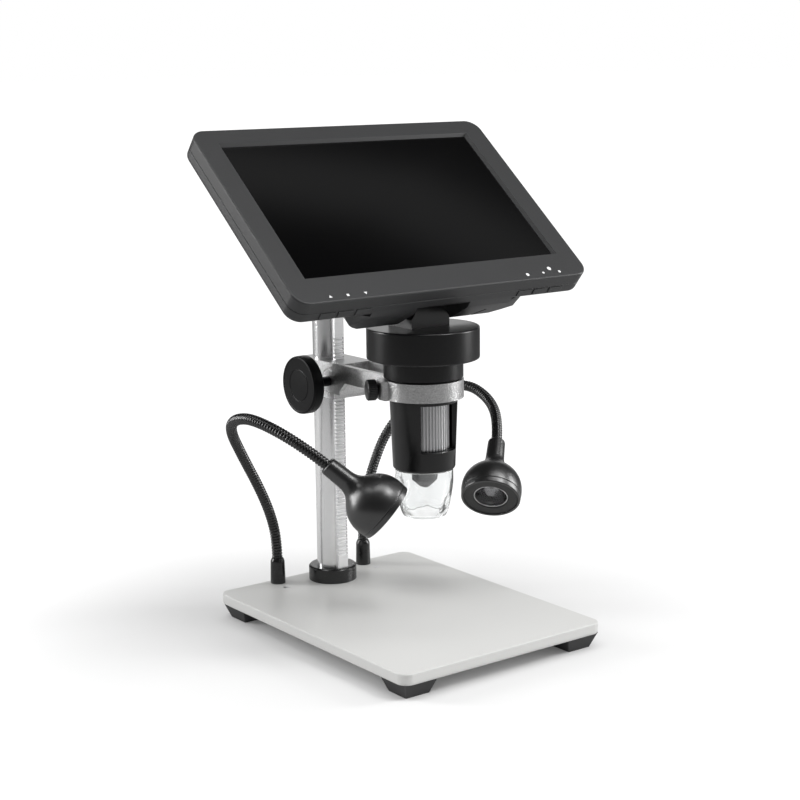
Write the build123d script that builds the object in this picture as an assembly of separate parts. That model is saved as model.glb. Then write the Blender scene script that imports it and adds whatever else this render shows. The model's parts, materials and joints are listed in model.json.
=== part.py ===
from build123d import *
import os
from math import acos, ceil, cos, floor, pi, radians, sin, tan

# Desk-top digital microscope with its own screen, in millimetres.
# Origin: centre of the base on the bench. X runs to the operator's right,
# -Y points at the operator and Z is up.

# ---- base ----
BASE_WIDTH = 128.0
BASE_DEPTH = 168.0
BASE_CORNER = 6.0
FOOT_HEIGHT = 7.9
FOOT_TOP_SIDE = 20.5
FOOT_BOTTOM_SIDE = 14.3
FOOT_CORNER = 0.7
FOOT_INSET = 1.6
FOOT_SCREW_R = 1.5
FOOT_SCREW_HEAD_R = 2.8
FOOT_SCREW_HEAD_HEIGHT = 1.8
FOOT_SCREW_SINK = 2.2
COVER_THICKNESS = 1.0
COVER_INSET = 0.5
PAN_HEIGHT = 4.8
PAN_ROOF = 2.0
PAN_RIM = 3.0
PAN_EDGE_ROUND = 0.7
PAN_POST_R = 4.5
SCREW_CLEARANCE = 0.2
SOCKET_WIDTH = 7.6
SOCKET_DEPTH = 6.2
SOCKET_HEIGHT = 2.6
SOCKET_WALL = 0.4
SOCKET_TONGUE = 0.7
DECK_SCREW_X = 30.7
DECK_SCREW_FROM_BACK = 16.5
DECK_SCREW_Y = BASE_DEPTH / 2 - DECK_SCREW_FROM_BACK
DECK_SCREW_R = 0.9
DECK_SCREW_HEAD_R = 1.7
DRIVER_WIDTH = 40.0
DRIVER_DEPTH = 18.0
DRIVER_FROM_BACK = 46.0
DRIVER_Y = BASE_DEPTH / 2 - DRIVER_FROM_BACK
BOARD_THICKNESS = 1.2
CHIP_HEIGHT = 1.2

# ---- column, rack and collar ----
COLUMN_FROM_BACK = 17.1
COLUMN_Y = BASE_DEPTH / 2 - COLUMN_FROM_BACK
COLUMN_R = 8.5
COLUMN_BORE_R = 4.05
COLUMN_HEIGHT = 149.0
COLUMN_CAP_HEIGHT = 3.0
COLUMN_CAP_SPIGOT = 8.0
COLLAR_R = 13.25
COLLAR_HEIGHT = 8.2
COLLAR_CHAMFER = 0.8
COLUMN_BOLT_R = 4.0
COLUMN_BOLT_HEAD_R = 6.5
COLUMN_BOLT_HEAD_HEIGHT = 2.6
COLUMN_BOLT_DEPTH = 22.0
COLLAR_SCREW_R = 1.5
GEAR_MODULE = 0.64
PINION_TEETH = 18
PRESSURE_ANGLE = 20.0
GEAR_BACKLASH = 0.16
RACK_WIDTH = 6.0
RACK_REACH = 10.8
RACK_SEAT = 6.3
RACK_TEETH_FROM = 13.0
RACK_TEETH_TO = 138.0

# ---- focusing carriage ----
RING_HEIGHT_ABOVE_DECK = 116.1
RING_THICKNESS = 9.5
RING_R = 20.55
HEAD_REACH = 84.9
HEAD_Y = COLUMN_Y - HEAD_REACH
CARRIAGE_HALF_WIDTH = 11.0
CARRIAGE_PLATE = 3.0
CARRIAGE_BLOCK_REACH = 20.4
CARRIAGE_BLOCK_FRONT = COLUMN_Y - CARRIAGE_BLOCK_REACH
CARRIAGE_BLOCK_DROP = 10.1
CARRIAGE_BACK_WALL = 3.1
CARRIAGE_GUSSET_REACH = 30.9
CARRIAGE_GUSSET_FRONT = COLUMN_Y - CARRIAGE_GUSSET_REACH
CROSS_WALL = 3.5
PINION_DROP = 0.6
PINION_WIDTH = 13.6
SLIDE_CLEARANCE = 0.05
SHAFT_R = 2.0
KNOB_R = 15.5
KNOB_THICKNESS = 6.5
KNOB_FACE_X = 30.6
KNOB_EDGE = 0.6
KNOB_HUB_R = 2.65
KNOB_GROOVE_R = 8.3
KNOB_GROOVE_WIDTH = 0.5
KNOB_GROOVE_DEPTH = 0.3
KNOB_COVER = 1.8
KNOB_GAP = 0.2
CLAMP_ANGLE = 157.0
CLAMP_BOSS_REACH = 23.8
CLAMP_BOSS_WIDTH = 11.0
CLAMP_BOSS_ROUND = 3.0
CLAMP_SCREW_R = 2.0
CLAMP_NECK_R = 3.0
CLAMP_NECK_LENGTH = 1.1
CLAMP_HEAD_START = CLAMP_BOSS_REACH + CLAMP_NECK_LENGTH
CLAMP_HEAD_LENGTH = 4.7
CLAMP_HEAD_R = 5.35
CLAMP_HEAD_EDGE = 0.5

# ---- camera head ----
BARREL_R = 17.4
BARREL_FOOT_R = 16.0
BARREL_BORE_R = 14.4
BARREL_LOW_BORE_R = 13.9
BARREL_DROP = 37.15
BARREL_STEP = 6.5
BARREL_FOOT_ROUND = 1.6
BARREL_HOLD = 8.3
NECK_R = 20.35
NECK_HEIGHT = 10.2
NECK_CHAMFER = 0.9
HEAD_R = 28.75
HEAD_HEIGHT = 16.25
HEAD_FLOOR = 2.0
HEAD_WALL = 3.0
HEAD_EDGE_ROUND = 0.9
LID_INSET = 1.6
LID_R = HEAD_R - LID_INSET
LID_THICKNESS = 2.0
HEAD_GAP = 0.2
WINDOW_HALF_ANGLE = 42.8
WINDOW_BOTTOM = 10.55
WINDOW_TOP = 34.95
WHEEL_R = 13.05
WHEEL_RIBS = 48
WHEEL_RIB_DEPTH = 0.45
WHEEL_BORE_R = 9.6
WHEEL_PLAY = 0.2
GUIDE_COLLAR_R = 9.54
GUIDE_COLLAR = 3.0
GUIDE_FLANGE = 3.0
GUIDE_BORE_R = 8.75
GUIDE_TUBE_R = 12.4
GUIDE_TUBE = 4.0
CARRIER_R = 8.7
CARRIER_BORE_R = 6.2
CARRIER_LENGTH = 28.0
CARRIER_SINK = 1.5
NOSE_R = 6.8
NOSE_DROP = 9.7
NOSE_TAPER = 3.8
NOSE_TIP_R = 2.4
LENS_R = 1.7
FRONT_LENS = 1.5
FRONT_LENS_SINK = 0.5
REAR_LENS = 2.6
LENS_SEAT = 2.0
SENSOR_BOARD_R = 14.2
SENSOR_SIDE = 7.0
SENSOR_HEIGHT = 0.9
LED_COUNT = 8
LED_CIRCLE_R = 11.4
LED_R = 1.2
LED_HEIGHT = 1.0
RING_BOARD_GAP = 0.5
CUP_DROP = 26.0
CUP_R = 14.9
CUP_WALL = 1.4
# how far the cup has come in, and where, on the way down
CUP_WAIST = [(7.0, 0.0), (9.5, 0.3), (13.5, 1.1), (18.3, 2.3), (22.8, 3.6)]
CUP_MOUTH_R = 10.5
CUP_TONGUE = 3.5
CAMERA_BOARD_R = 21.0
CAMERA_BOARD_RISE = 3.2
CAMERA_CHIP_SIDE = 12.0
CAMERA_POSTS = 3
CAMERA_POST_R = 2.2

# ---- tilting hinge ----
HINGE_BEHIND_AXIS = 3.0
HINGE_Y = HEAD_Y + HINGE_BEHIND_AXIS
HINGE_RISE = 16.75
HINGE_BLOCK_WIDTH = 24.0
HINGE_BLOCK_AHEAD = 6.4
HINGE_BLOCK_FRONT = HEAD_Y - HINGE_BLOCK_AHEAD
HINGE_BLOCK_BEHIND = 13.0
HINGE_BLOCK_BACK = HEAD_Y + HINGE_BLOCK_BEHIND
HINGE_BLOCK_STRAIGHT = 6.75
HINGE_KNUCKLE_R = 5.2
HINGE_SHOULDER = 5.0
HINGE_SHOULDER_RISE = 6.0
HINGE_SHOULDER_START = 4.75
HINGE_SCREW_X = (-6.0, 6.0)
HINGE_SCREW_DEPTH = 6.0
HINGE_PIN_R = 2.0
HINGE_CLEARANCE = 0.06
EAR_THICKNESS = 3.0
EAR_GAP = 0.4
EAR_R = 4.6
EAR_PLATE = 1.6
EAR_PLATE_BELOW = 9.0
EAR_PLATE_ABOVE = 10.0

# ---- screen unit: u across, v up the face, n out of the face ----
SCREEN_TILT = 39.13
SCREEN_WIDTH = 182.4
SCREEN_CORNER = 8.0
BEZEL_SIDE = 13.7
VIEW_WIDTH = SCREEN_WIDTH - 2 * BEZEL_SIDE
VIEW_HEIGHT = 93.2
VIEW_RECESS = 1.66
VIEW_BEVEL = 1.38
BEZEL_TOP_BAND = 11.5
BEZEL_TOP = VIEW_HEIGHT / 2 + BEZEL_TOP_BAND
BEZEL_BOTTOM_BAND = 17.5
BEZEL_BOTTOM = VIEW_HEIGHT / 2 + BEZEL_BOTTOM_BAND
BEZEL_DEPTH = 6.92
SCREEN_DEPTH = 13.73
SCREEN_WALL = 2.0
SHELL_BACK = 1.8
FACE_ROUND = 0.9
BACK_ROUND = 3.0
PARTING_CHAMFER = 0.25
HINGE_ABOVE_EDGE = 18.7
HINGE_BELOW_CENTRE = BEZEL_BOTTOM - HINGE_ABOVE_EDGE
HINGE_BEHIND_FACE = 21.2
PANEL_BORDER_WIDTH = 9.9
PANEL_WIDTH = VIEW_WIDTH + PANEL_BORDER_WIDTH
PANEL_BORDER_HEIGHT = 6.8
PANEL_HEIGHT = VIEW_HEIGHT + PANEL_BORDER_HEIGHT
PANEL_DEPTH = 4.6
POST_R = 2.6
POST_INSET = 6.0
POST_DROP = 13.2
POST_RISE = 7.8
SCREEN_SCREW_R = 1.3
SCREEN_SCREW_HEAD_R = 2.2
SCREEN_SCREW_HEAD = 1.5
SCREEN_SCREW_SINK = 0.3
SCREEN_SCREW_ROOF = 1.0
MAIN_BOARD_SIDE_ROOM = 64.4
MAIN_BOARD_WIDTH = SCREEN_WIDTH - MAIN_BOARD_SIDE_ROOM
MAIN_BOARD_END_ROOM = 27.2
MAIN_BOARD_HEIGHT = VIEW_HEIGHT - MAIN_BOARD_END_ROOM
MAIN_BOARD_THICKNESS = 1.0
MAIN_BOARD_POST = 2.4
MAIN_BOARD_POST_R = 2.2
MAIN_BOARD_POST_INSET = 4.0
CABLE_HOLE_R = 4.0
HOUSING_SIDE_STEP = 34.2
HOUSING_HALF_WIDTH = SCREEN_WIDTH / 2 - HOUSING_SIDE_STEP
HOUSING_BOTTOM = -BEZEL_BOTTOM
HOUSING_TOP_STEP = 28.1
HOUSING_TOP = BEZEL_TOP - HOUSING_TOP_STEP
HOUSING_CROWN_RISE = 6.9
HOUSING_CROWN_BOTTOM = HOUSING_BOTTOM + HOUSING_CROWN_RISE
HOUSING_CROWN_FALL = 21.0
HOUSING_CROWN_TOP = HOUSING_TOP - HOUSING_CROWN_FALL
HOUSING_SHOULDER = 1.8
HOUSING_DEPTH = 30.0
# the flanks come in from the half width, at depths behind the shell
HOUSING_FLANK = [(0.0, 0.8), (2.7, 4.9), (5.8, 8.7), (10.2, 12.5)]
HOUSING_CROWN_INSET = 16.0
HOUSING_CORNER_RUN = 12.5
HOUSING_CORNER_RISE = 5.0
HOUSING_EDGE_ROUND = 1.2
HOUSING_WALL = 2.0
NOTCH_HALF_WIDTH = 16.5
NOTCH_ABOVE_HINGE = 12.4
NOTCH_TOP = -HINGE_BELOW_CENTRE + NOTCH_ABOVE_HINGE
VENT_COUNT = 7
VENT_PITCH = 4.0
VENT_WIDTH = 1.4
VENT_LENGTH = 14.0
VENT_BELOW_CROWN = 23.0
CARD_SLOT_LENGTH = 11.4
CARD_SLOT_WIDTH = 1.6
CARD_SLOT_DEPTH = 5.0
CARD_SLOT_SLANT = -31.0
CARD_SLOT_U = 31.7
CARD_SLOT_SHARE = 0.79
CHARGING_SLOT_V = -20.0
CHARGING_SLOT_CLEARANCE = 0.6
BATTERY_SIDE_ROOM = 64.0
BATTERY_WIDTH = 2 * HOUSING_HALF_WIDTH - BATTERY_SIDE_ROOM
BATTERY_HEIGHT = 32.0
BATTERY_DEPTH = 7.0
BUTTON_PITCH = 10.5
BUTTON_FROM_SIDE = 40.7
BUTTON_FIRST = SCREEN_WIDTH / 2 - BUTTON_FROM_SIDE
BUTTON_WIDTH = 8.6
BUTTON_DEPTH = 3.6
BUTTON_PROUD = 0.5
BUTTON_TRAVEL = 0.4
BUTTON_CLEARANCE = 0.2
BUTTON_FLANGE = 0.6
BUTTON_FLANGE_THICKNESS = 0.8
BUTTON_INSET = 0.5
BUTTON_STEM = 2.0
SWITCH_RISE = 4.1
SWITCH_HEIGHT = 2.0
SWITCH_SIDE = 4.0
SWITCH_GAP = 0.1

# ---- side lamps on flexible necks ----
LAMP_X = 29.1
LAMP_FROM_BACK = 5.7
LAMP_Y = BASE_DEPTH / 2 - LAMP_FROM_BACK
FERRULE_R = 4.15
FERRULE_TOP_R = 3.9
FERRULE_HEIGHT = 14.1
FERRULE_SHOULDER = 1.6
FERRULE_LIP = 0.25
FERRULE_SOCKET = 8.0
FERRULE_STUD_R = 2.4
FERRULE_STUD = 2.4
NECK_TUBE_R = 2.9
NECK_SOCKET_GAP = 0.05
BALL_GAP = 0.1
BALL_STANDOFF = 1.5
LAMP_LENGTH = 38.6
LAMP_STEM_R = 4.65
LAMP_STEM_END_R = 5.0
LAMP_STEM_ROUND = 1.4
LAMP_STEM = 12.0
LAMP_FLARE = 19.6
LAMP_FLARE_R = 9.3
LAMP_FLARE_SAG = 1.09
LAMP_BELLY = 34.0
LAMP_BELLY_R = 16.1
LAMP_BELLY_SAG = 2.09
LAMP_RIM_R = 15.7
LAMP_WALL = 1.3
LAMP_SOCKET = 6.0
LAMP_GROOVE = 35.4
LAMP_GROOVE_WIDTH = 0.4
LAMP_GROOVE_DEPTH = 0.3
LAMP_BEZEL_THICKNESS = 1.6
LAMP_BEZEL_SINK = 0.5
REFLECTOR_R = 8.9
REFLECTOR_NECK_R = 3.0
REFLECTOR_WALL = 0.7
REFLECTOR_BULGE = 0.82
LED_SEAT = 26.5
LAMP_LED_R = 2.5
LAMP_LED_STAND = 1.5
LAMP_BOARD_INSET = 1.5
LAMP_LENS_THICKNESS = 1.0
LAMP_LEFT_AIM = (0.616, -0.449, -0.647)
LAMP_RIGHT_AIM = (-0.560, -0.534, -0.633)
# the lamps' stems and the points of their necks, measured from each
# neck's place on the deck
LAMP_LEFT_STEM = (-31.75, -97.1, 89.65)
LAMP_RIGHT_STEM = (35.2, -77.5, 80.15)
LAMP_LEFT_NECK = [
    (-2.1, 0.1, 34.9), (-9.8, -1.6, 52.9), (-24.6, -4.8, 78.2),
    (-38.8, -17.7, 95.2), (-49.6, -41.5, 106.4), (-51.4, -64.5, 109.7)]
LAMP_RIGHT_NECK = [
    (0.9, -0.7, 34.0), (8.4, 2.3, 54.0), (20.3, 2.6, 76.2),
    (36.4, -7.8, 96.5), (50.0, -31.8, 104.7), (51.1, -52.6, 98.2)]
FERRULE_RUN = 6.5
LAMP_LEFT_RUN = 14.0
LAMP_RIGHT_RUN = 13.0

# ---- heights that follow from the sizes above ----
COVER_Z = FOOT_HEIGHT
PAN_Z = COVER_Z + COVER_THICKNESS
DECK_Z = PAN_Z + PAN_HEIGHT
POCKET_TOP = DECK_Z - PAN_ROOF
RING_Z = DECK_Z + RING_HEIGHT_ABOVE_DECK
RING_TOP = RING_Z + RING_THICKNESS
BLOCK_Z = RING_Z - CARRIAGE_BLOCK_DROP
CLAMP_Z = RING_Z + RING_THICKNESS / 2
NECK_Z = RING_TOP + HEAD_GAP
HEAD_Z = NECK_Z + NECK_HEIGHT
HEAD_TOP = HEAD_Z + HEAD_HEIGHT
BARREL_Z = RING_Z - BARREL_DROP
BARREL_TOP = NECK_Z + BARREL_HOLD
HINGE_Z = HEAD_TOP + HINGE_RISE
HINGE_MIDDLE = (HINGE_BLOCK_FRONT + HINGE_BLOCK_BACK) / 2
PITCH_R = GEAR_MODULE * PINION_TEETH / 2
TOOTH_PITCH = pi * GEAR_MODULE
PINION_Y = COLUMN_Y - RACK_REACH + GEAR_MODULE - PITCH_R
PINION_Z = RING_Z - PINION_DROP
PINION_BAY_R = PITCH_R + GEAR_MODULE + SCREW_CLEARANCE
COLUMN_TOP = DECK_Z + COLUMN_HEIGHT
LAMP_BEZEL_BACK = LAMP_LENGTH - LAMP_BEZEL_SINK - LAMP_BEZEL_THICKNESS
LED_TOP = LED_SEAT + BOARD_THICKNESS

parts = {}


def rounded_plate(width, depth, radius, bottom, height):
    """Upright plate with rounded corners, centred on Z."""
    return Pos(0, 0, bottom) * extrude(RectangleRounded(width, depth, radius), height)


def lathe(corners):
    """Solid turned about Z from (radius, height) corners."""
    outline = Polyline(*[(r, 0, z) for r, z in corners], close=True)
    return revolve(make_face(outline), Axis.Z)


def post(x, y, bottom, top, radius):
    """Upright round bar."""
    return Pos(x, y, (bottom + top) / 2) * Cylinder(radius, top - bottom)


def block(x, y, z):
    """Box between two corners given as (low, high) pairs."""
    size = [high - low for low, high in (x, y, z)]
    centre = [(high + low) / 2 for low, high in (x, y, z)]
    return Pos(*centre) * Box(*size)


def group(solids, place=Location()):
    """Several loose solids moved together, as one node."""
    return Compound(children=[place * solid for solid in solids])


def bar_x(y, z, start, end, radius):
    """Round bar along X."""
    return Pos((start + end) / 2, y, z) * Rot(0, 90, 0) * Cylinder(radius, end - start)


# ------------------------------------------------------------------ base
foot_x = BASE_WIDTH / 2 - FOOT_INSET - FOOT_TOP_SIDE / 2
foot_y = BASE_DEPTH / 2 - FOOT_INSET - FOOT_TOP_SIDE / 2
foot_places = [(sx * foot_x, sy * foot_y) for sx in (-1, 1) for sy in (-1, 1)]


def base_plate():
    """Cast pan: flat deck, rim, four screw posts, openings for everything fixed to it."""
    pan = rounded_plate(BASE_WIDTH, BASE_DEPTH, BASE_CORNER, PAN_Z, PAN_HEIGHT)
    pan = fillet(pan.faces().sort_by(Axis.Z)[-1].edges(), PAN_EDGE_ROUND)
    pocket = rounded_plate(BASE_WIDTH - 2 * PAN_RIM, BASE_DEPTH - 2 * PAN_RIM,
                           BASE_CORNER - PAN_RIM, PAN_Z, PAN_HEIGHT - PAN_ROOF)
    for x, y in foot_places:
        pocket -= post(x, y, PAN_Z, POCKET_TOP, PAN_POST_R)
    pan -= pocket
    for x, y in foot_places:
        pan -= post(x, y, PAN_Z, POCKET_TOP, FOOT_SCREW_R)
    pan -= post(0, COLUMN_Y, POCKET_TOP, DECK_Z, COLUMN_BOLT_R + SCREW_CLEARANCE)
    for side in (-1, 1):
        pan -= post(side * LAMP_X, LAMP_Y, POCKET_TOP, DECK_Z, FERRULE_STUD_R)
        pan -= post(side * DECK_SCREW_X, DECK_SCREW_Y, POCKET_TOP, DECK_Z, DECK_SCREW_R)
        pan -= post(side * DECK_SCREW_X, DECK_SCREW_Y, DECK_Z - DECK_SCREW_R, DECK_Z,
                    DECK_SCREW_HEAD_R)
    rear = BASE_DEPTH / 2
    pan -= block((-SOCKET_WIDTH / 2, SOCKET_WIDTH / 2), (rear - PAN_RIM, rear),
                 (PAN_Z, PAN_Z + SOCKET_HEIGHT))
    return pan


def base_cover():
    """Sheet that closes the pan from below."""
    sheet = rounded_plate(BASE_WIDTH - 2 * COVER_INSET, BASE_DEPTH - 2 * COVER_INSET,
                          BASE_CORNER - COVER_INSET, COVER_Z, COVER_THICKNESS)
    for x, y in foot_places:
        sheet -= post(x, y, COVER_Z, PAN_Z, FOOT_SCREW_R + SCREW_CLEARANCE)
    return sheet


def foot(x, y):
    """Tapered rubber foot with a counterbored screw hole."""
    top = Pos(0, 0, FOOT_HEIGHT) * RectangleRounded(FOOT_TOP_SIDE, FOOT_TOP_SIDE, FOOT_CORNER)
    bottom = RectangleRounded(FOOT_BOTTOM_SIDE, FOOT_BOTTOM_SIDE, FOOT_CORNER)
    body = Pos(x, y, 0) * loft([bottom, top])
    body -= post(x, y, 0, FOOT_HEIGHT, FOOT_SCREW_R + SCREW_CLEARANCE)
    return body - post(x, y, 0, FOOT_SCREW_SINK + FOOT_SCREW_HEAD_HEIGHT,
                       FOOT_SCREW_HEAD_R + SCREW_CLEARANCE)


def foot_screw(x, y):
    """Pan-head screw up through a foot into the pan's post."""
    head_top = FOOT_SCREW_SINK + FOOT_SCREW_HEAD_HEIGHT
    return (post(x, y, FOOT_SCREW_SINK, head_top, FOOT_SCREW_HEAD_R)
            + post(x, y, head_top, POCKET_TOP, FOOT_SCREW_R))


def deck_screw(x):
    """Flat-head screw that holds the lamp driver to the deck."""
    return (post(x, DECK_SCREW_Y, DECK_Z - DECK_SCREW_R, DECK_Z, DECK_SCREW_HEAD_R)
            + post(x, DECK_SCREW_Y, POCKET_TOP, DECK_Z - DECK_SCREW_R, DECK_SCREW_R))


def lamp_driver():
    """Circuit board under the deck that feeds both lamps."""
    board = block((-DRIVER_WIDTH / 2, DRIVER_WIDTH / 2),
                  (DRIVER_Y - DRIVER_DEPTH / 2, DRIVER_Y + DRIVER_DEPTH / 2),
                  (POCKET_TOP - BOARD_THICKNESS, POCKET_TOP))
    chip_side = DRIVER_DEPTH / 3
    for x in (-DRIVER_WIDTH / 4, DRIVER_WIDTH / 4):
        board += block((x - chip_side / 2, x + chip_side / 2),
                       (DRIVER_Y - chip_side / 2, DRIVER_Y + chip_side / 2),
                       (POCKET_TOP - BOARD_THICKNESS - CHIP_HEIGHT, POCKET_TOP - BOARD_THICKNESS))
    return board


def power_socket():
    """Small power inlet in the rear rim, open to the back."""
    rear = BASE_DEPTH / 2
    wall = SOCKET_WALL
    shell = block((-SOCKET_WIDTH / 2, SOCKET_WIDTH / 2), (rear - SOCKET_DEPTH, rear),
                  (PAN_Z, PAN_Z + SOCKET_HEIGHT))
    shell -= block((-SOCKET_WIDTH / 2 + wall, SOCKET_WIDTH / 2 - wall),
                   (rear - SOCKET_DEPTH + wall, rear),
                   (PAN_Z + wall, PAN_Z + SOCKET_HEIGHT - wall))
    middle = PAN_Z + SOCKET_HEIGHT / 2
    half = SOCKET_TONGUE / 2
    return shell + block((-SOCKET_WIDTH / 3, SOCKET_WIDTH / 3),
                         (rear - SOCKET_DEPTH, rear - 1.0), (middle - half, middle + half))


parts["base_plate"] = base_plate()
parts["base_bottom_cover"] = base_cover()
parts["rubber_feet"] = group([foot(x, y) for x, y in foot_places])
parts["lamp_driver_board"] = lamp_driver()
parts["lamp_power_socket"] = power_socket()


# ---------------------------------------------------------------- column
def column_tube():
    """Thick-walled aluminium tube with a flat-bottomed groove for the rack."""
    tube = post(0, COLUMN_Y, DECK_Z, COLUMN_TOP, COLUMN_R)
    tube -= post(0, COLUMN_Y, DECK_Z, COLUMN_TOP, COLUMN_BORE_R)
    return tube - block((-RACK_WIDTH / 2, RACK_WIDTH / 2),
                        (COLUMN_Y - COLUMN_R, COLUMN_Y - RACK_SEAT),
                        (DECK_Z + COLLAR_HEIGHT, COLUMN_TOP))


def column_rack():
    """Toothed strip let into the front of the column, plain at both ends."""
    tip = COLUMN_Y - RACK_REACH
    pitch_line = tip + GEAR_MODULE
    root = tip + 2.25 * GEAR_MODULE
    slope = tan(radians(PRESSURE_ANGLE))
    half_tooth = (TOOTH_PITCH / 2 - GEAR_BACKLASH / 2) / 2
    half_tip = half_tooth - (pitch_line - tip) * slope
    half_root = half_tooth + (root - pitch_line) * slope
    low, high = DECK_Z + COLLAR_HEIGHT, COLUMN_TOP
    first = ceil((DECK_Z + RACK_TEETH_FROM - PINION_Z) / TOOTH_PITCH)
    last = floor((DECK_Z + RACK_TEETH_TO - PINION_Z) / TOOTH_PITCH)
    back = COLUMN_Y - RACK_SEAT
    outline = [(back, low), (tip, low)]
    start = PINION_Z + first * TOOTH_PITCH
    outline += [(tip, start + half_tip), (root, start + half_root)]
    for k in range(first + 1, last):
        z = PINION_Z + k * TOOTH_PITCH
        outline += [(root, z - half_root), (tip, z - half_tip),
                    (tip, z + half_tip), (root, z + half_root)]
    end = PINION_Z + last * TOOTH_PITCH
    outline += [(root, end - half_root), (tip, end - half_tip), (tip, high), (back, high)]
    face = make_face(Polyline(*[(-RACK_WIDTH / 2, y, z) for y, z in outline], close=True))
    return extrude(face, RACK_WIDTH, dir=(1, 0, 0))


def column_collar():
    """Black ring round the foot of the column."""
    ring = post(0, COLUMN_Y, DECK_Z, DECK_Z + COLLAR_HEIGHT, COLLAR_R)
    ring = chamfer(ring.faces().sort_by(Axis.Z)[-1].edges(), COLLAR_CHAMFER)
    ring -= post(0, COLUMN_Y, DECK_Z, DECK_Z + COLLAR_HEIGHT, COLUMN_R)
    return ring - collar_screw()


def collar_screw():
    """Grub screw at the back of the collar, flush with it."""
    middle = DECK_Z + COLLAR_HEIGHT / 2
    reach = COLLAR_R - COLUMN_R
    place = Pos(0, COLUMN_Y + COLUMN_R + reach / 2, middle) * Rot(90, 0, 0)
    return place * Cylinder(COLLAR_SCREW_R, reach - COLLAR_CHAMFER)


def column_bolt():
    """Low-head bolt up through the deck into the column."""
    head_bottom = POCKET_TOP - COLUMN_BOLT_HEAD_HEIGHT
    return (post(0, COLUMN_Y, head_bottom, POCKET_TOP, COLUMN_BOLT_HEAD_R)
            + post(0, COLUMN_Y, POCKET_TOP, DECK_Z + COLUMN_BOLT_DEPTH, COLUMN_BOLT_R))


def column_cap():
    """Black plug that closes the top of the column."""
    top = COLUMN_TOP + COLUMN_CAP_HEIGHT
    head = post(0, COLUMN_Y, COLUMN_TOP, top, COLUMN_R)
    head = fillet(head.faces().sort_by(Axis.Z)[-1].edges(), COLUMN_CAP_HEIGHT / 2.5)
    return head + post(0, COLUMN_Y, COLUMN_TOP - COLUMN_CAP_SPIGOT, COLUMN_TOP, COLUMN_BORE_R)


parts["column_tube"] = column_tube()
parts["column_rack"] = column_rack()
parts["column_collar"] = column_collar()
parts["column_cap"] = column_cap()
parts["base_fasteners"] = group(
    [foot_screw(x, y) for x, y in foot_places]
    + [deck_screw(side * DECK_SCREW_X) for side in (-1, 1)]
    + [collar_screw(), column_bolt()])


# -------------------------------------------------------------- carriage
def ring_point(reach, height):
    """Point at a distance from the head axis, in the clamp screw's direction."""
    angle = radians(CLAMP_ANGLE)
    return (reach * cos(angle), HEAD_Y + reach * sin(angle), height)


def clamp_bar(start, end, radius):
    """Round bar along the clamp screw's axis."""
    length = end - start
    place = Pos(*ring_point((start + end) / 2, CLAMP_Z))
    return place * Rot(0, 0, CLAMP_ANGLE) * Rot(0, 90, 0) * Cylinder(radius, length)


def focus_carriage():
    """One casting: block on the column, two side plates, cross wall and clamp ring."""
    half, plate = CARRIAGE_HALF_WIDTH, CARRIAGE_PLATE
    back = COLUMN_Y + COLUMN_R + CARRIAGE_BACK_WALL
    body = block((-half, half), (CARRIAGE_BLOCK_FRONT, back), (BLOCK_Z, RING_TOP))
    body = fillet(body.edges().filter_by(Axis.Z).sort_by(Axis.Y)[-2:], half / 2)
    side = make_face(Polyline(*[
        (half, HEAD_Y, RING_Z), (half, CARRIAGE_GUSSET_FRONT, RING_Z),
        (half, CARRIAGE_BLOCK_FRONT, BLOCK_Z), (half, CARRIAGE_BLOCK_FRONT, RING_TOP),
        (half, HEAD_Y, RING_TOP)], close=True))
    plate_right = extrude(side, plate, dir=(-1, 0, 0))
    body += plate_right
    body += Pos(plate - 2 * half, 0, 0) * plate_right
    bay_front = PINION_Y - PINION_BAY_R
    wall_front = bay_front - CROSS_WALL
    body += block((-half, half), (wall_front, CARRIAGE_BLOCK_FRONT), (BLOCK_Z, RING_TOP))
    body -= block((-half, half), (wall_front, CARRIAGE_BLOCK_FRONT),
                  (BLOCK_Z, BLOCK_Z + CARRIAGE_PLATE))
    body += post(0, HEAD_Y, RING_Z, RING_TOP, RING_R)
    boss = block((0, CLAMP_BOSS_REACH), (-CLAMP_BOSS_WIDTH / 2, CLAMP_BOSS_WIDTH / 2),
                 (RING_Z, RING_TOP))
    boss = fillet(boss.edges().filter_by(Axis.Z).sort_by(Axis.X)[-2:], CLAMP_BOSS_ROUND)
    body += Pos(0, HEAD_Y, 0) * Rot(0, 0, CLAMP_ANGLE) * boss
    body -= post(0, HEAD_Y, RING_Z, RING_TOP, BARREL_R + SLIDE_CLEARANCE)
    body -= clamp_bar(0, CLAMP_BOSS_REACH, CLAMP_SCREW_R + SLIDE_CLEARANCE)
    body -= post(0, COLUMN_Y, BLOCK_Z, RING_TOP, COLUMN_R + SLIDE_CLEARANCE)
    slot = RACK_WIDTH / 2 + 2 * SLIDE_CLEARANCE
    body -= block((-slot, slot), (COLUMN_Y - RACK_REACH - SCREW_CLEARANCE, COLUMN_Y),
                  (BLOCK_Z, RING_TOP))
    body -= bar_x(PINION_Y, PINION_Z, -half, half - plate, PINION_BAY_R)
    return body - bar_x(PINION_Y, PINION_Z, half - plate, half, SHAFT_R + SLIDE_CLEARANCE)


def pinion_bush():
    """Plug that closes the pinion bay and carries the shaft's left end."""
    half, inner = CARRIAGE_HALF_WIDTH, PINION_WIDTH / 2 + SCREW_CLEARANCE
    bush = bar_x(PINION_Y, PINION_Z, -half, -inner, PINION_BAY_R)
    return bush - bar_x(PINION_Y, PINION_Z, -half, -inner, SHAFT_R + SLIDE_CLEARANCE)


def involute(angle):
    """Turn of an involute flank at a pressure angle."""
    return tan(angle) - angle


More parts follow.
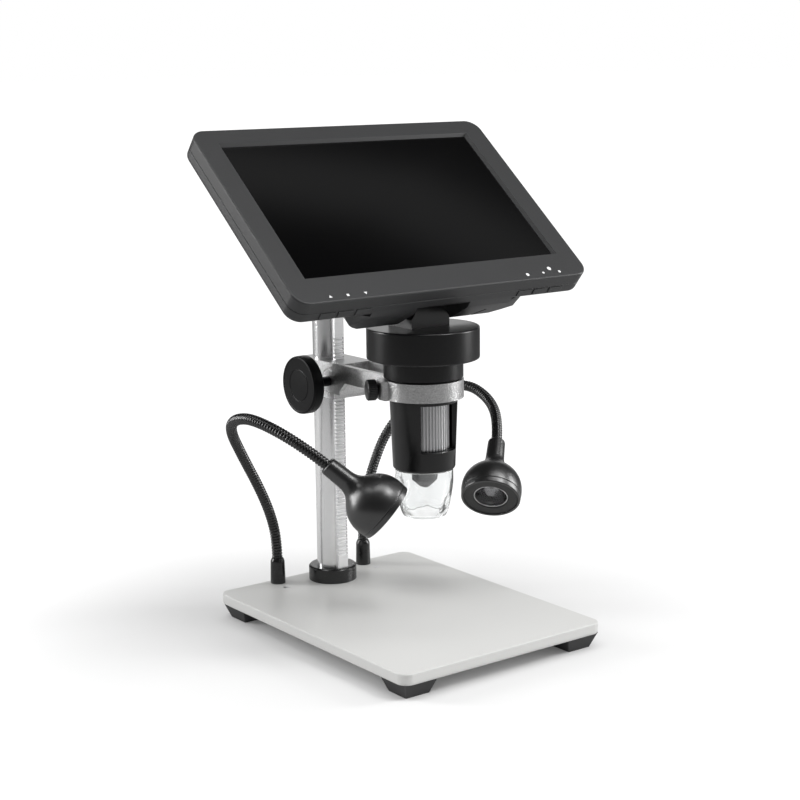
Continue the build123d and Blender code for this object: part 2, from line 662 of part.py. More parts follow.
def pinion_section():
    """Involute outline in the YZ plane with a tooth space facing the rack."""
    base_r = PITCH_R * cos(radians(PRESSURE_ANGLE))
    outer_r = PITCH_R + GEAR_MODULE
    root_r = PITCH_R - 1.25 * GEAR_MODULE
    half_pitch = (TOOTH_PITCH / 2 - GEAR_BACKLASH / 2) / (2 * PITCH_R)
    steps = 5
    flank = [(root_r, half_pitch + involute(radians(PRESSURE_ANGLE)))]
    for i in range(steps + 1):
        r = base_r + (outer_r - base_r) * i / steps
        turned = half_pitch + involute(radians(PRESSURE_ANGLE)) - involute(acos(base_r / r))
        flank.append((r, turned))
    outline = []
    for tooth in range(PINION_TEETH):
        centre = (tooth + 0.5) * 2 * pi / PINION_TEETH
        for r, turned in flank:
            outline.append((r * cos(centre - turned), r * sin(centre - turned)))
        for r, turned in reversed(flank):
            outline.append((r * cos(centre + turned), r * sin(centre + turned)))
    return outline


def pinion_shaft():
    """Steel shaft with the pinion teeth cut in its middle."""
    start = -PINION_WIDTH / 2
    face = make_face(Polyline(*[(start, PINION_Y + a, PINION_Z + b)
                                for a, b in pinion_section()], close=True))
    reach = KNOB_FACE_X - KNOB_COVER
    return (extrude(face, PINION_WIDTH, dir=(1, 0, 0))
            + bar_x(PINION_Y, PINION_Z, -reach, reach, SHAFT_R))


def focus_knob():
    """Flat black hand wheel with a ring groove in its face, made for the right end."""
    hub_start, inner_face = CARRIAGE_HALF_WIDTH + KNOB_GAP, KNOB_FACE_X - KNOB_THICKNESS
    wheel = bar_x(PINION_Y, PINION_Z, inner_face, KNOB_FACE_X, KNOB_R)
    wheel = chamfer(wheel.edges().filter_by(GeomType.CIRCLE), KNOB_EDGE)
    floor_x = KNOB_FACE_X - KNOB_GROOVE_DEPTH
    wheel -= (bar_x(PINION_Y, PINION_Z, floor_x, KNOB_FACE_X, KNOB_GROOVE_R + KNOB_GROOVE_WIDTH)
              - bar_x(PINION_Y, PINION_Z, floor_x, KNOB_FACE_X, KNOB_GROOVE_R))
    wheel += bar_x(PINION_Y, PINION_Z, hub_start, inner_face, KNOB_HUB_R)
    return wheel - bar_x(PINION_Y, PINION_Z, hub_start, KNOB_FACE_X - KNOB_COVER, SHAFT_R)


def clamp_screw():
    """Thumb screw that holds the camera head in the ring."""
    tip = BARREL_R + SLIDE_CLEARANCE
    screw = clamp_bar(tip, CLAMP_HEAD_START, CLAMP_SCREW_R)
    screw += clamp_bar(CLAMP_BOSS_REACH + KNOB_GAP, CLAMP_HEAD_START, CLAMP_NECK_R)
    head = clamp_bar(CLAMP_HEAD_START, CLAMP_HEAD_START + CLAMP_HEAD_LENGTH, CLAMP_HEAD_R)
    return screw + chamfer(head.edges().filter_by(GeomType.CIRCLE), CLAMP_HEAD_EDGE)


parts["focus_carriage"] = focus_carriage()
parts["pinion_bush"] = pinion_bush()
parts["pinion_shaft"] = pinion_shaft()
parts["focus_knob_right"] = focus_knob()
parts["focus_knob_left"] = mirror(focus_knob(), about=Plane.YZ)
parts["clamp_thumb_screw"] = clamp_screw()


# ------------------------------------------------------------ camera head
def at_head(shape):
    """Move a shape made about Z onto the head's axis."""
    return Pos(0, HEAD_Y, 0) * shape


def barrel():
    """Tapered sleeve with a window for the focusing wheel."""
    step = BARREL_Z + BARREL_STEP
    sleeve = lathe([(BARREL_LOW_BORE_R, BARREL_Z), (BARREL_FOOT_R, BARREL_Z),
                    (BARREL_R, RING_Z), (BARREL_R, BARREL_TOP),
                    (BARREL_BORE_R, BARREL_TOP), (BARREL_BORE_R, step),
                    (BARREL_LOW_BORE_R, step)])
    foot_edges = sleeve.edges().filter_by(GeomType.CIRCLE).group_by(Axis.Z)[0]
    sleeve = fillet(foot_edges.sort_by(SortBy.RADIUS)[-1:], BARREL_FOOT_ROUND)
    spread = radians(WINDOW_HALF_ANGLE)
    reach = 2 * BARREL_R
    wedge = make_face(Polyline((0, 0), (-reach * sin(spread), -reach * cos(spread)),
                               (0, -2 * reach),
                               (reach * sin(spread), -reach * cos(spread)), close=True))
    window = Pos(0, 0, BARREL_Z + WINDOW_BOTTOM) * extrude(wedge, WINDOW_TOP - WINDOW_BOTTOM)
    window -= post(0, 0, BARREL_Z, RING_Z, WHEEL_BORE_R)
    return at_head(sleeve - window)


WHEEL_Z = BARREL_Z + WINDOW_BOTTOM + WHEEL_PLAY
WHEEL_TOP = BARREL_Z + WINDOW_TOP - WHEEL_PLAY
LOW_GUIDE_Z = BARREL_Z + BARREL_STEP
HIGH_GUIDE_TOP = WHEEL_TOP + WHEEL_PLAY + GUIDE_FLANGE
SENSOR_Z = HIGH_GUIDE_TOP + GUIDE_TUBE
CARRIER_Z = BARREL_Z + CARRIER_SINK


def focus_wheel():
    """Ribbed aluminium roller behind the barrel's window."""
    outline = []
    for rib in range(WHEEL_RIBS):
        for share, r in ((-0.36, WHEEL_R - WHEEL_RIB_DEPTH), (-0.2, WHEEL_R),
                         (0.2, WHEEL_R), (0.36, WHEEL_R - WHEEL_RIB_DEPTH)):
            angle = (rib + share) * 2 * pi / WHEEL_RIBS
            outline.append((r * cos(angle), r * sin(angle)))
    face = make_face(Polyline(*outline, close=True)) - Circle(WHEEL_BORE_R)
    return at_head(Pos(0, 0, WHEEL_Z) * extrude(face, WHEEL_TOP - WHEEL_Z))


def lower_guide():
    """Ring on the barrel's step that carries the wheel and guides the lens tube."""
    top = WHEEL_Z - WHEEL_PLAY
    return at_head(lathe([
        (GUIDE_BORE_R, LOW_GUIDE_Z), (BARREL_BORE_R, LOW_GUIDE_Z), (BARREL_BORE_R, top),
        (GUIDE_COLLAR_R, top), (GUIDE_COLLAR_R, top + GUIDE_COLLAR),
        (GUIDE_BORE_R, top + GUIDE_COLLAR)]))


def upper_guide():
    """Ring above the wheel with a seat for the sensor board."""
    bottom = WHEEL_TOP + WHEEL_PLAY
    return at_head(lathe([
        (GUIDE_BORE_R, bottom - GUIDE_COLLAR), (GUIDE_COLLAR_R, bottom - GUIDE_COLLAR),
        (GUIDE_COLLAR_R, bottom), (BARREL_BORE_R, bottom), (BARREL_BORE_R, SENSOR_Z),
        (GUIDE_TUBE_R, SENSOR_Z), (GUIDE_TUBE_R, HIGH_GUIDE_TOP),
        (GUIDE_BORE_R, HIGH_GUIDE_TOP)]))


def lens_carrier():
    """Sliding tube with a conical nose that holds the objective."""
    tip = BARREL_Z - NOSE_DROP
    nose_top = CARRIER_Z
    taper = tip + NOSE_TAPER
    return at_head(lathe([
        (LENS_R, tip), (NOSE_TIP_R, tip), (NOSE_R, taper), (NOSE_R, nose_top),
        (CARRIER_R, nose_top), (CARRIER_R, nose_top + CARRIER_LENGTH),
        (CARRIER_BORE_R, nose_top + CARRIER_LENGTH), (CARRIER_BORE_R, nose_top + LENS_SEAT),
        (LENS_R, nose_top + LENS_SEAT)]))


def lens_stack():
    """Front element in the nose and a larger one on the tube's inner seat."""
    tip = BARREL_Z - NOSE_DROP
    seat = CARRIER_Z + LENS_SEAT
    front = post(0, 0, tip + FRONT_LENS_SINK, tip + FRONT_LENS_SINK + FRONT_LENS, LENS_R)
    rear = post(0, 0, seat, seat + REAR_LENS, CARRIER_BORE_R)
    return group([front, rear], Pos(0, HEAD_Y, 0))


def ring_light():
    """Ring-shaped board under the lower guide with white lamps spaced evenly on it."""
    bottom = LOW_GUIDE_Z - BOARD_THICKNESS
    ring = post(0, 0, bottom, LOW_GUIDE_Z, BARREL_LOW_BORE_R)
    ring -= post(0, 0, bottom, LOW_GUIDE_Z, CARRIER_R + RING_BOARD_GAP)
    lamp = post(LED_CIRCLE_R, 0, bottom - LED_HEIGHT, bottom, LED_R)
    lamp = fillet(lamp.faces().sort_by(Axis.Z)[0].edges(), LED_R / 2)
    for number in range(LED_COUNT):
        ring += Rot(0, 0, number * 360 / LED_COUNT) * lamp
    return at_head(ring)


def clear_cup():
    """Transparent skirt round the lens, a snug fit in the barrel's mouth."""
    top = BARREL_Z
    tongue = BARREL_LOW_BORE_R
    shape = [(CUP_R, top)] + [(CUP_R - waist, top - drop) for drop, waist in CUP_WAIST]
    shape += [(CUP_MOUTH_R, top - CUP_DROP)]
    inside = [(r - CUP_WALL, z) for r, z in reversed(shape)]
    return at_head(lathe([(tongue, top + CUP_TONGUE), (tongue, top)] + shape + inside
                         + [(tongue - CUP_WALL, top + CUP_TONGUE)]))


def sensor_board():
    """Round board with the image sensor on its underside."""
    half = SENSOR_SIDE / 2
    board = post(0, 0, SENSOR_Z, SENSOR_Z + BOARD_THICKNESS, SENSOR_BOARD_R)
    return at_head(board + block((-half, half), (-half, half),
                                 (SENSOR_Z - SENSOR_HEIGHT, SENSOR_Z)))


def head_housing():
    """Round black body: neck over the barrel, bowl for the camera board."""
    floor_z = HEAD_Z + HEAD_FLOOR
    bore = BARREL_R + SLIDE_CLEARANCE
    seat = HEAD_TOP - LID_THICKNESS
    body = lathe([
        (bore, NECK_Z), (NECK_R - NECK_CHAMFER, NECK_Z), (NECK_R, NECK_Z + NECK_CHAMFER),
        (NECK_R, HEAD_Z), (HEAD_R, HEAD_Z), (HEAD_R, HEAD_TOP),
        (LID_R, HEAD_TOP), (LID_R, seat), (HEAD_R - HEAD_WALL, seat),
        (HEAD_R - HEAD_WALL, floor_z), (BARREL_BORE_R, floor_z),
        (BARREL_BORE_R, BARREL_TOP), (bore, BARREL_TOP)])
    rims = body.edges().filter_by(GeomType.CIRCLE).filter_by(
        lambda edge: abs(edge.radius - HEAD_R) < 0.01)
    body = fillet(rims, HEAD_EDGE_ROUND)
    reach = CAMERA_BOARD_R - CAMERA_POST_R
    for number in range(CAMERA_POSTS):
        body += Rot(0, 0, number * 360 / CAMERA_POSTS) * post(
            reach, 0, floor_z, floor_z + CAMERA_BOARD_RISE, CAMERA_POST_R)
    return at_head(body)


def camera_board():
    """Main camera board on three posts."""
    bottom = HEAD_Z + HEAD_FLOOR + CAMERA_BOARD_RISE
    board = post(0, 0, bottom, bottom + BOARD_THICKNESS, CAMERA_BOARD_R)
    chip = bottom + BOARD_THICKNESS
    half = CAMERA_CHIP_SIDE / 2
    return at_head(board + block((-half, half), (-half, half), (chip, chip + CHIP_HEIGHT)))


def head_lid():
    """Disc let into the top of the housing, with holes for the hinge screws."""
    lid = at_head(post(0, 0, HEAD_TOP - LID_THICKNESS, HEAD_TOP, LID_R))
    for x in HINGE_SCREW_X:
        lid -= post(x, HINGE_MIDDLE, HEAD_TOP - LID_THICKNESS, HEAD_TOP,
                    FOOT_SCREW_R + SLIDE_CLEARANCE)
    return lid


def hinge_block():
    """Upright knuckle on the lid; the screen's pin turns in it."""
    half = HINGE_BLOCK_WIDTH / 2
    low = block((-half, half), (HINGE_BLOCK_FRONT, HINGE_BLOCK_BACK),
                (HEAD_TOP, HEAD_TOP + HINGE_BLOCK_STRAIGHT))
    shoulder = HEAD_TOP + HINGE_BLOCK_STRAIGHT
    knuckle = bar_x(HINGE_Y, HINGE_Z, -half, half, HINGE_KNUCKLE_R)
    # both flanks run tangent from the shoulders to the knuckle
    flank = [(HINGE_BLOCK_FRONT, shoulder)]
    flank += [tangent_point(HINGE_BLOCK_FRONT, shoulder, -1)]
    flank += [tangent_point(HINGE_BLOCK_BACK, shoulder, 1)]
    flank += [(HINGE_BLOCK_BACK, shoulder)]
    web = extrude(make_face(Polyline(*[(-half, y, z) for y, z in flank], close=True)),
                  HINGE_BLOCK_WIDTH, dir=(1, 0, 0))
    body = low + web + knuckle
    # the top corners are cut back so that the screen's recess can be narrow
    top = HINGE_Z + HINGE_KNUCKLE_R
    start = HEAD_TOP + HINGE_SHOULDER_START
    for side in (-1, 1):
        narrow = side * (half - HINGE_SHOULDER)
        corner = make_face(Polyline(
            (side * half, 0, start), (narrow, 0, start + HINGE_SHOULDER_RISE),
            (narrow, 0, top), (side * half, 0, top), close=True))
        front_part = extrude(corner, HINGE_Y - HINGE_KNUCKLE_R - HINGE_BLOCK_FRONT,
                             dir=(0, 1, 0))
        body -= Pos(0, HINGE_BLOCK_FRONT, 0) * front_part
    body -= bar_x(HINGE_Y, HINGE_Z, -half, half, HINGE_PIN_R + HINGE_CLEARANCE)
    for x in HINGE_SCREW_X:
        body -= post(x, HINGE_MIDDLE, HEAD_TOP, HEAD_TOP + HINGE_SCREW_DEPTH, FOOT_SCREW_R)
    return body


def tangent_point(y, z, side):
    """Where a line from (y, z) touches the knuckle on the given side."""
    dy, dz = y - HINGE_Y, z - HINGE_Z
    reach = (dy * dy + dz * dz) ** 0.5
    turn = acos(HINGE_KNUCKLE_R / reach)
    cy, cz = dy / reach, dz / reach
    s = side * sin(turn)
    c = cos(turn)
    return (HINGE_Y + HINGE_KNUCKLE_R * (c * cy - s * cz),
            HINGE_Z + HINGE_KNUCKLE_R * (c * cz + s * cy))


def hinge_screws():
    """Two screws up through the lid into the hinge block."""
    head = HEAD_TOP - LID_THICKNESS
    return group([
        post(x, HINGE_MIDDLE, head - FOOT_SCREW_HEAD_HEIGHT, head, FOOT_SCREW_HEAD_R)
        + post(x, HINGE_MIDDLE, head, HEAD_TOP + HINGE_SCREW_DEPTH, FOOT_SCREW_R)
        for x in HINGE_SCREW_X])


parts["barrel"] = barrel()
parts["focus_wheel"] = focus_wheel()
parts["wheel_guides"] = group([lower_guide(), upper_guide()])
parts["lens_carrier"] = lens_carrier()
parts["objective_lenses"] = lens_stack()
parts["ring_light"] = ring_light()
parts["clear_cup"] = clear_cup()
parts["sensor_board"] = sensor_board()
parts["head_housing"] = head_housing()
parts["camera_board"] = camera_board()
parts["head_lid"] = head_lid()
parts["hinge_block"] = hinge_block()
parts["hinge_screws"] = hinge_screws()


# ------------------------------------------------------------ screen unit
tilt = radians(SCREEN_TILT)
screen_origin = (
    0,
    HINGE_Y + HINGE_BELOW_CENTRE * cos(tilt) - HINGE_BEHIND_FACE * sin(tilt),
    HINGE_Z + HINGE_BELOW_CENTRE * sin(tilt) + HINGE_BEHIND_FACE * cos(tilt))
screen_place = Plane(origin=screen_origin, x_dir=(1, 0, 0),
                     z_dir=(0, -sin(tilt), cos(tilt))).location
OUTLINE_HEIGHT = BEZEL_TOP + BEZEL_BOTTOM
OUTLINE_MIDDLE = (BEZEL_TOP - BEZEL_BOTTOM) / 2
post_u = SCREEN_WIDTH / 2 - POST_INSET
screen_posts = [(side * post_u, v) for side in (-1, 1)
                for v in (BEZEL_TOP - POST_DROP, POST_RISE - BEZEL_BOTTOM)]
BOARD_N = -SCREEN_DEPTH + SHELL_BACK + MAIN_BOARD_POST
board_post_u = MAIN_BOARD_WIDTH / 2 - MAIN_BOARD_POST_INSET
board_post_v = MAIN_BOARD_HEIGHT / 2 - MAIN_BOARD_POST_INSET
board_posts = [(su * board_post_u, sv * board_post_v) for su in (-1, 1) for sv in (-1, 1)]
SCREEN_SCREW_TIP = -VIEW_RECESS - SCREEN_SCREW_ROOF


def outline_slab(inset, front, back):
    """Slab with the screen unit's outline, pulled in by an inset."""
    sketch = RectangleRounded(SCREEN_WIDTH - 2 * inset, OUTLINE_HEIGHT - 2 * inset,
                              SCREEN_CORNER - inset)
    return Pos(0, OUTLINE_MIDDLE, back) * extrude(sketch, front - back)


def front_bezel():
    """Front frame with a bevelled window and four screw posts."""
    frame = outline_slab(0, 0, -BEZEL_DEPTH)
    frame = fillet(frame.faces().sort_by(Axis.Z)[-1].edges(), FACE_ROUND)
    frame = chamfer(frame.faces().sort_by(Axis.Z)[0].edges(), PARTING_CHAMFER)
    frame -= outline_slab(SCREEN_WALL, -VIEW_RECESS, -BEZEL_DEPTH)
    window_front = Rectangle(VIEW_WIDTH + 2 * VIEW_BEVEL, VIEW_HEIGHT + 2 * VIEW_BEVEL)
    window_back = Pos(0, 0, -VIEW_RECESS) * Rectangle(VIEW_WIDTH, VIEW_HEIGHT)
    frame -= loft([window_back, window_front])
    for u, v in screen_posts:
        frame += post(u, v, -BEZEL_DEPTH, -VIEW_RECESS, POST_R)
        frame -= post(u, v, -BEZEL_DEPTH, SCREEN_SCREW_TIP, SCREEN_SCREW_R)
    return frame


def lcd_panel():
    """Display module held behind the window."""
    half_w, half_h = PANEL_WIDTH / 2, PANEL_HEIGHT / 2
    return block((-half_w, half_w), (-half_h, half_h),
                 (-VIEW_RECESS - PANEL_DEPTH, -VIEW_RECESS))


def button_places():
    """Centres of the buttons along the lower edge, left to right."""
    right = [BUTTON_FIRST + k * BUTTON_PITCH for k in range(3)]
    return [-u for u in reversed(right)] + right


BUTTON_N = -BEZEL_DEPTH - BUTTON_INSET - BUTTON_DEPTH / 2
SWITCH_V = SWITCH_RISE - BEZEL_BOTTOM
BUTTON_TIP_V = SWITCH_V - BUTTON_TRAVEL - SWITCH_GAP


def button(u):
    """Push button with an inner flange that keeps it in its slot."""
    half, depth, stem = BUTTON_WIDTH / 2, BUTTON_DEPTH / 2, BUTTON_STEM / 2
    inner_wall = SCREEN_WALL - BEZEL_BOTTOM
    flange_v = inner_wall + SWITCH_GAP
    flange_top = flange_v + BUTTON_FLANGE_THICKNESS
    cap = block((u - half, u + half), (-BEZEL_BOTTOM - BUTTON_PROUD, flange_top),
                (BUTTON_N - depth, BUTTON_N + depth))
    flange = block((u - half - BUTTON_FLANGE, u + half + BUTTON_FLANGE),
                   (flange_v, flange_top), (BUTTON_N - depth, BUTTON_N + depth))
    return cap + flange + block((u - stem, u + stem), (inner_wall, BUTTON_TIP_V),
                                (BUTTON_N - stem, BUTTON_N + stem))


def button_board(side):
    """Strip board with three switches behind the buttons."""
    places = [side * (BUTTON_FIRST + k * BUTTON_PITCH) for k in range(3)]
    low, high = min(places) - BUTTON_WIDTH / 2, max(places) + BUTTON_WIDTH / 2
    board_v = SWITCH_V + SWITCH_HEIGHT
    board = block((low, high), (board_v, board_v + MAIN_BOARD_THICKNESS),
                  (-SCREEN_DEPTH + SHELL_BACK, -BEZEL_DEPTH - SCREEN_SCREW_SINK))
    half, depth = SWITCH_SIDE / 2, BUTTON_DEPTH / 2 - BUTTON_CLEARANCE
    for u in places:
        board += block((u - half, u + half), (SWITCH_V, board_v),
                       (BUTTON_N - depth, BUTTON_N + depth))
    return board


def rear_shell():
    """Back shell: posts for screws and board, slots for the buttons, cable hole."""
    shell = outline_slab(0, -BEZEL_DEPTH, -SCREEN_DEPTH)
    shell = fillet(shell.faces().sort_by(Axis.Z)[0].edges(), BACK_ROUND)
    shell = chamfer(shell.faces().sort_by(Axis.Z)[-1].edges(), PARTING_CHAMFER)
    inner_back = -SCREEN_DEPTH + SHELL_BACK
    shell -= outline_slab(SCREEN_WALL, -BEZEL_DEPTH, inner_back)
    for u, v in screen_posts:
        shell += post(u, v, -SCREEN_DEPTH + SHELL_BACK / 2, -BEZEL_DEPTH, POST_R)
    for u, v in board_posts:
        shell += post(u, v, inner_back, BOARD_N, MAIN_BOARD_POST_R)
    for u, v in screen_posts:
        shell -= post(u, v, -SCREEN_DEPTH, -BEZEL_DEPTH, SCREEN_SCREW_R + SLIDE_CLEARANCE)
        shell -= post(u, v, -SCREEN_DEPTH, -SCREEN_DEPTH + SCREEN_SCREW_HEAD,
                      SCREEN_SCREW_HEAD_R + SLIDE_CLEARANCE)
    slot_u = BUTTON_WIDTH / 2 + BUTTON_CLEARANCE
    slot_n = BUTTON_DEPTH / 2 + BUTTON_CLEARANCE
    for u in button_places():
        shell -= block((u - slot_u, u + slot_u), (-BEZEL_BOTTOM, SCREEN_WALL - BEZEL_BOTTOM),
                       (BUTTON_N - slot_n, BUTTON_N + slot_n))
    cable_v = HOUSING_CROWN_TOP + 1.5 * CABLE_HOLE_R
    return shell - post(0, cable_v, -SCREEN_DEPTH, inner_back, CABLE_HOLE_R)


def screen_screw(u, v):
    """Screw from the back shell into the front frame."""
    head_top = -SCREEN_DEPTH + SCREEN_SCREW_HEAD
    return (post(u, v, -SCREEN_DEPTH + SCREEN_SCREW_SINK, head_top, SCREEN_SCREW_HEAD_R)
            + post(u, v, head_top, SCREEN_SCREW_TIP, SCREEN_SCREW_R))


def main_board():
    """Display and recorder board with its larger chips."""
    half_w, half_h = MAIN_BOARD_WIDTH / 2, MAIN_BOARD_HEIGHT / 2
    board = block((-half_w, half_w), (-half_h, half_h), (BOARD_N, BOARD_N + MAIN_BOARD_THICKNESS))
    for across, up, side in ((-0.5, 0.25, 14.0), (0.1, 0.35, 10.0), (0.6, -0.2, 12.0)):
        u, v = across * half_w, up * half_h
        board += block((u - side / 2, u + side / 2), (v - side / 2, v + side / 2),
                       (BOARD_N - CHIP_HEIGHT, BOARD_N))
    return board


def prism(points, inset, plane):
    """Long bar through an outline that an inset shrinks, both ways from its plane."""
    outline = make_face(Polyline(*points, close=True))
    if inset:
        outline = offset(outline, amount=-inset, kind=Kind.INTERSECTION)
    return extrude(plane * outline, SCREEN_WIDTH, both=True)


def housing_mound(inset):
    """Low mound behind the shell; the inset gives its inside."""
    back = inset - SCREEN_DEPTH
    wide = HOUSING_HALF_WIDTH
    slope = (HOUSING_TOP - HOUSING_CROWN_TOP) / (HOUSING_DEPTH - SCREEN_DEPTH)
    top = HOUSING_TOP + slope * inset
    side = [(HOUSING_BOTTOM, back), (HOUSING_BOTTOM, -SCREEN_DEPTH - HOUSING_SHOULDER),
            (HOUSING_CROWN_BOTTOM, -HOUSING_DEPTH), (HOUSING_CROWN_TOP, -HOUSING_DEPTH),
            (top, back)]
    flank = [(wide - come_in, -SCREEN_DEPTH - depth) for come_in, depth in HOUSING_FLANK]
    flank = [(wide, back)] + flank + [(wide - HOUSING_CROWN_INSET, -HOUSING_DEPTH)]
    plan = flank + [(-u, n) for u, n in reversed(flank)]
    corner = [(wide - HOUSING_CORNER_RUN, HOUSING_BOTTOM),
              (wide, HOUSING_BOTTOM + HOUSING_CORNER_RISE), (wide, top)]
    face = corner + [(-u, v) for u, v in reversed(corner)]
    return (prism(side, inset, Plane.YZ) & prism(plan, inset, Plane.XZ)
            & prism(face, inset, Plane.XY))


def housing_lip():
    """Strip that fills the shell's rounded lower edge, so both undersides are flush."""
    half = HOUSING_HALF_WIDTH - HOUSING_CORNER_RUN
    corner = make_face(Polyline(
        (-half, HOUSING_BOTTOM, -SCREEN_DEPTH), (-half, HOUSING_BOTTOM, BACK_ROUND - SCREEN_DEPTH),
        (-half, HOUSING_BOTTOM + BACK_ROUND, -SCREEN_DEPTH), close=True))
    return extrude(corner, 2 * half, dir=(1, 0, 0))


def notch(extra):
    """Space for the hinge, open at the bottom and back of the mound."""
    half = NOTCH_HALF_WIDTH + extra
    return block((-half, half), (HOUSING_BOTTOM - BACK_ROUND, NOTCH_TOP + extra),
                 (-HOUSING_DEPTH - BACK_ROUND, BACK_ROUND - SCREEN_DEPTH))


def card_slot():
    """Slanted cutter across the mound's lower slope and its rear edge."""
    run = HOUSING_CROWN_BOTTOM - HOUSING_BOTTOM
    rise = HOUSING_DEPTH - SCREEN_DEPTH - HOUSING_SHOULDER
    middle = (CARD_SLOT_U, HOUSING_BOTTOM + run * CARD_SLOT_SHARE,
              -SCREEN_DEPTH - HOUSING_SHOULDER - rise * CARD_SLOT_SHARE)
    slope = Plane(origin=middle, x_dir=(0, run, -rise), z_dir=(0, -rise, -run))
    return slope.location * Rot(0, 0, CARD_SLOT_SLANT) * Box(
        CARD_SLOT_LENGTH, CARD_SLOT_WIDTH, 2 * CARD_SLOT_DEPTH)


def charging_slot():
    """Cutter square to the rearmost run of the left flank."""
    come_in, depth = HOUSING_FLANK[-1]
    run = HOUSING_CROWN_INSET - come_in
    rise = HOUSING_DEPTH - SCREEN_DEPTH - depth
    middle = (-HOUSING_HALF_WIDTH + come_in + run / 2, CHARGING_SLOT_V,
              -SCREEN_DEPTH - depth - rise / 2)
    flank = Plane(origin=middle, x_dir=(0, 1, 0), z_dir=(-rise, 0, -run))
    return flank.location * Box(SOCKET_WIDTH + CHARGING_SLOT_CLEARANCE,
                                SOCKET_HEIGHT + CHARGING_SLOT_CLEARANCE, 2 * CARD_SLOT_DEPTH)


def rear_housing():
    """Hollow mound on the back with the hinge notch, vents and two sockets' openings."""
    shape = housing_mound(0)
    shape = fillet(shape.edges().filter_by(
        lambda edge: edge.center().Z < -HOUSING_DEPTH + 0.1), HOUSING_EDGE_ROUND)
    inner = housing_mound(HOUSING_WALL) - notch(HOUSING_WALL)
    shape = shape + housing_lip() - inner - notch(0) - rear_shell()
    for k in range(VENT_COUNT):
        v = HOUSING_CROWN_TOP - VENT_BELOW_CROWN + (k - (VENT_COUNT - 1) / 2) * VENT_PITCH
        shape -= block((-VENT_LENGTH / 2, VENT_LENGTH / 2),
                       (v - VENT_WIDTH / 2, v + VENT_WIDTH / 2),
                       (-HOUSING_DEPTH, -HOUSING_DEPTH + HOUSING_WALL))
    return shape - card_slot() - charging_slot()


def battery():
    """Flat rechargeable cell on the back shell, inside the mound."""
    half = BATTERY_WIDTH / 2
    bottom = NOTCH_TOP + HOUSING_WALL + 1.0
    return block((-half, half), (bottom, bottom + BATTERY_HEIGHT),
                 (-SCREEN_DEPTH - BATTERY_DEPTH, -SCREEN_DEPTH))


def tilt_bracket():
    """Steel bracket on the back shell whose two ears hold the hinge pin."""
    v0, n0 = -HINGE_BELOW_CENTRE, -HINGE_BEHIND_FACE
    inner = HINGE_BLOCK_WIDTH / 2 + EAR_GAP
    outer = inner + EAR_THICKNESS
    low = v0 - EAR_PLATE_BELOW
    plate_back = -SCREEN_DEPTH - EAR_PLATE
    bracket = block((-outer, outer), (low, v0 + EAR_PLATE_ABOVE), (plate_back, -SCREEN_DEPTH))
    web = make_face(Polyline((inner, low, plate_back), (inner, v0 - EAR_R, n0),
                             (inner, v0 + EAR_R, n0),
                             (inner, v0 + EAR_PLATE_BELOW, plate_back), close=True))
    ear = extrude(web, EAR_THICKNESS, dir=(1, 0, 0)) + bar_x(v0, n0, inner, outer, EAR_R)
    bracket += ear
    bracket += Pos(-inner - outer, 0, 0) * ear
    return bracket - bar_x(v0, n0, -outer, outer, HINGE_PIN_R)


def hinge_pin():
    """Pin held in the bracket's ears."""
    reach = HINGE_BLOCK_WIDTH / 2 + EAR_GAP + EAR_THICKNESS
    return bar_x(-HINGE_BELOW_CENTRE, -HINGE_BEHIND_FACE, -reach, reach, HINGE_PIN_R)


screen_pieces = {
    "front_bezel": [front_bezel()],
    "lcd_panel": [lcd_panel()],
    "rear_shell": [rear_shell()],
    "screen_screws": [screen_screw(u, v) for u, v in screen_posts],
    "main_board": [main_board()],
    "rear_housing": [rear_housing()],
    "battery": [battery()],
    "tilt_bracket": [tilt_bracket()],
    "hinge_pin": [hinge_pin()],
    "button_boards": [button_board(side) for side in (-1, 1)]}
for number, u in enumerate(button_places(), 1):
    screen_pieces[f"button_{number}"] = [button(u)]
for name, solids in screen_pieces.items():
    parts[name] = group(solids, screen_place)


# ------------------------------------------------------------- side lamps
def neck_path(points):
    """Straight runs joined by arcs as large as the runs allow."""
    radii = []
    for before, here, after in zip(points, points[1:], points[2:]):
        come, go = here - before, after - here
        turn = radians(come.get_angle(go))
        radii.append(0.45 * min(come.length, go.length) / tan(turn / 2))
    print("neck bend radii", [round(r, 1) for r in radii])
    return FilletPolyline(*points, radius=radii)


def neck(points, name):
    """Flexible neck, parted at its bend by a ball so that the outer half can nod."""
    line = neck_path(points)
    start = Plane(origin=line @ 0, z_dir=line % 0)
    tube = sweep(start * Circle(NECK_TUBE_R), path=line)
    middle = len(points) // 2
    before, after = points[middle], points[middle + 1]
    heading = (after - before).normalized()
    bend = before + (after - before) * 0.5
    ball = Pos(*bend) * Sphere(NECK_TUBE_R)
    socket = Pos(*bend) * Sphere(NECK_TUBE_R + BALL_GAP)
    lower = split(tube, bisect_by=Plane(origin=bend, z_dir=heading), keep=Keep.BOTTOM)
    upper = split(tube, bisect_by=Plane(origin=bend + heading * BALL_STANDOFF, z_dir=heading),
                  keep=Keep.TOP)
    print(name, "bends at", tuple(round(c, 3) for c in bend),
          "tube volume", round(tube.volume, 1), "of",
          round(pi * NECK_TUBE_R ** 2 * line.length, 1))
    return lower + ball, upper - socket


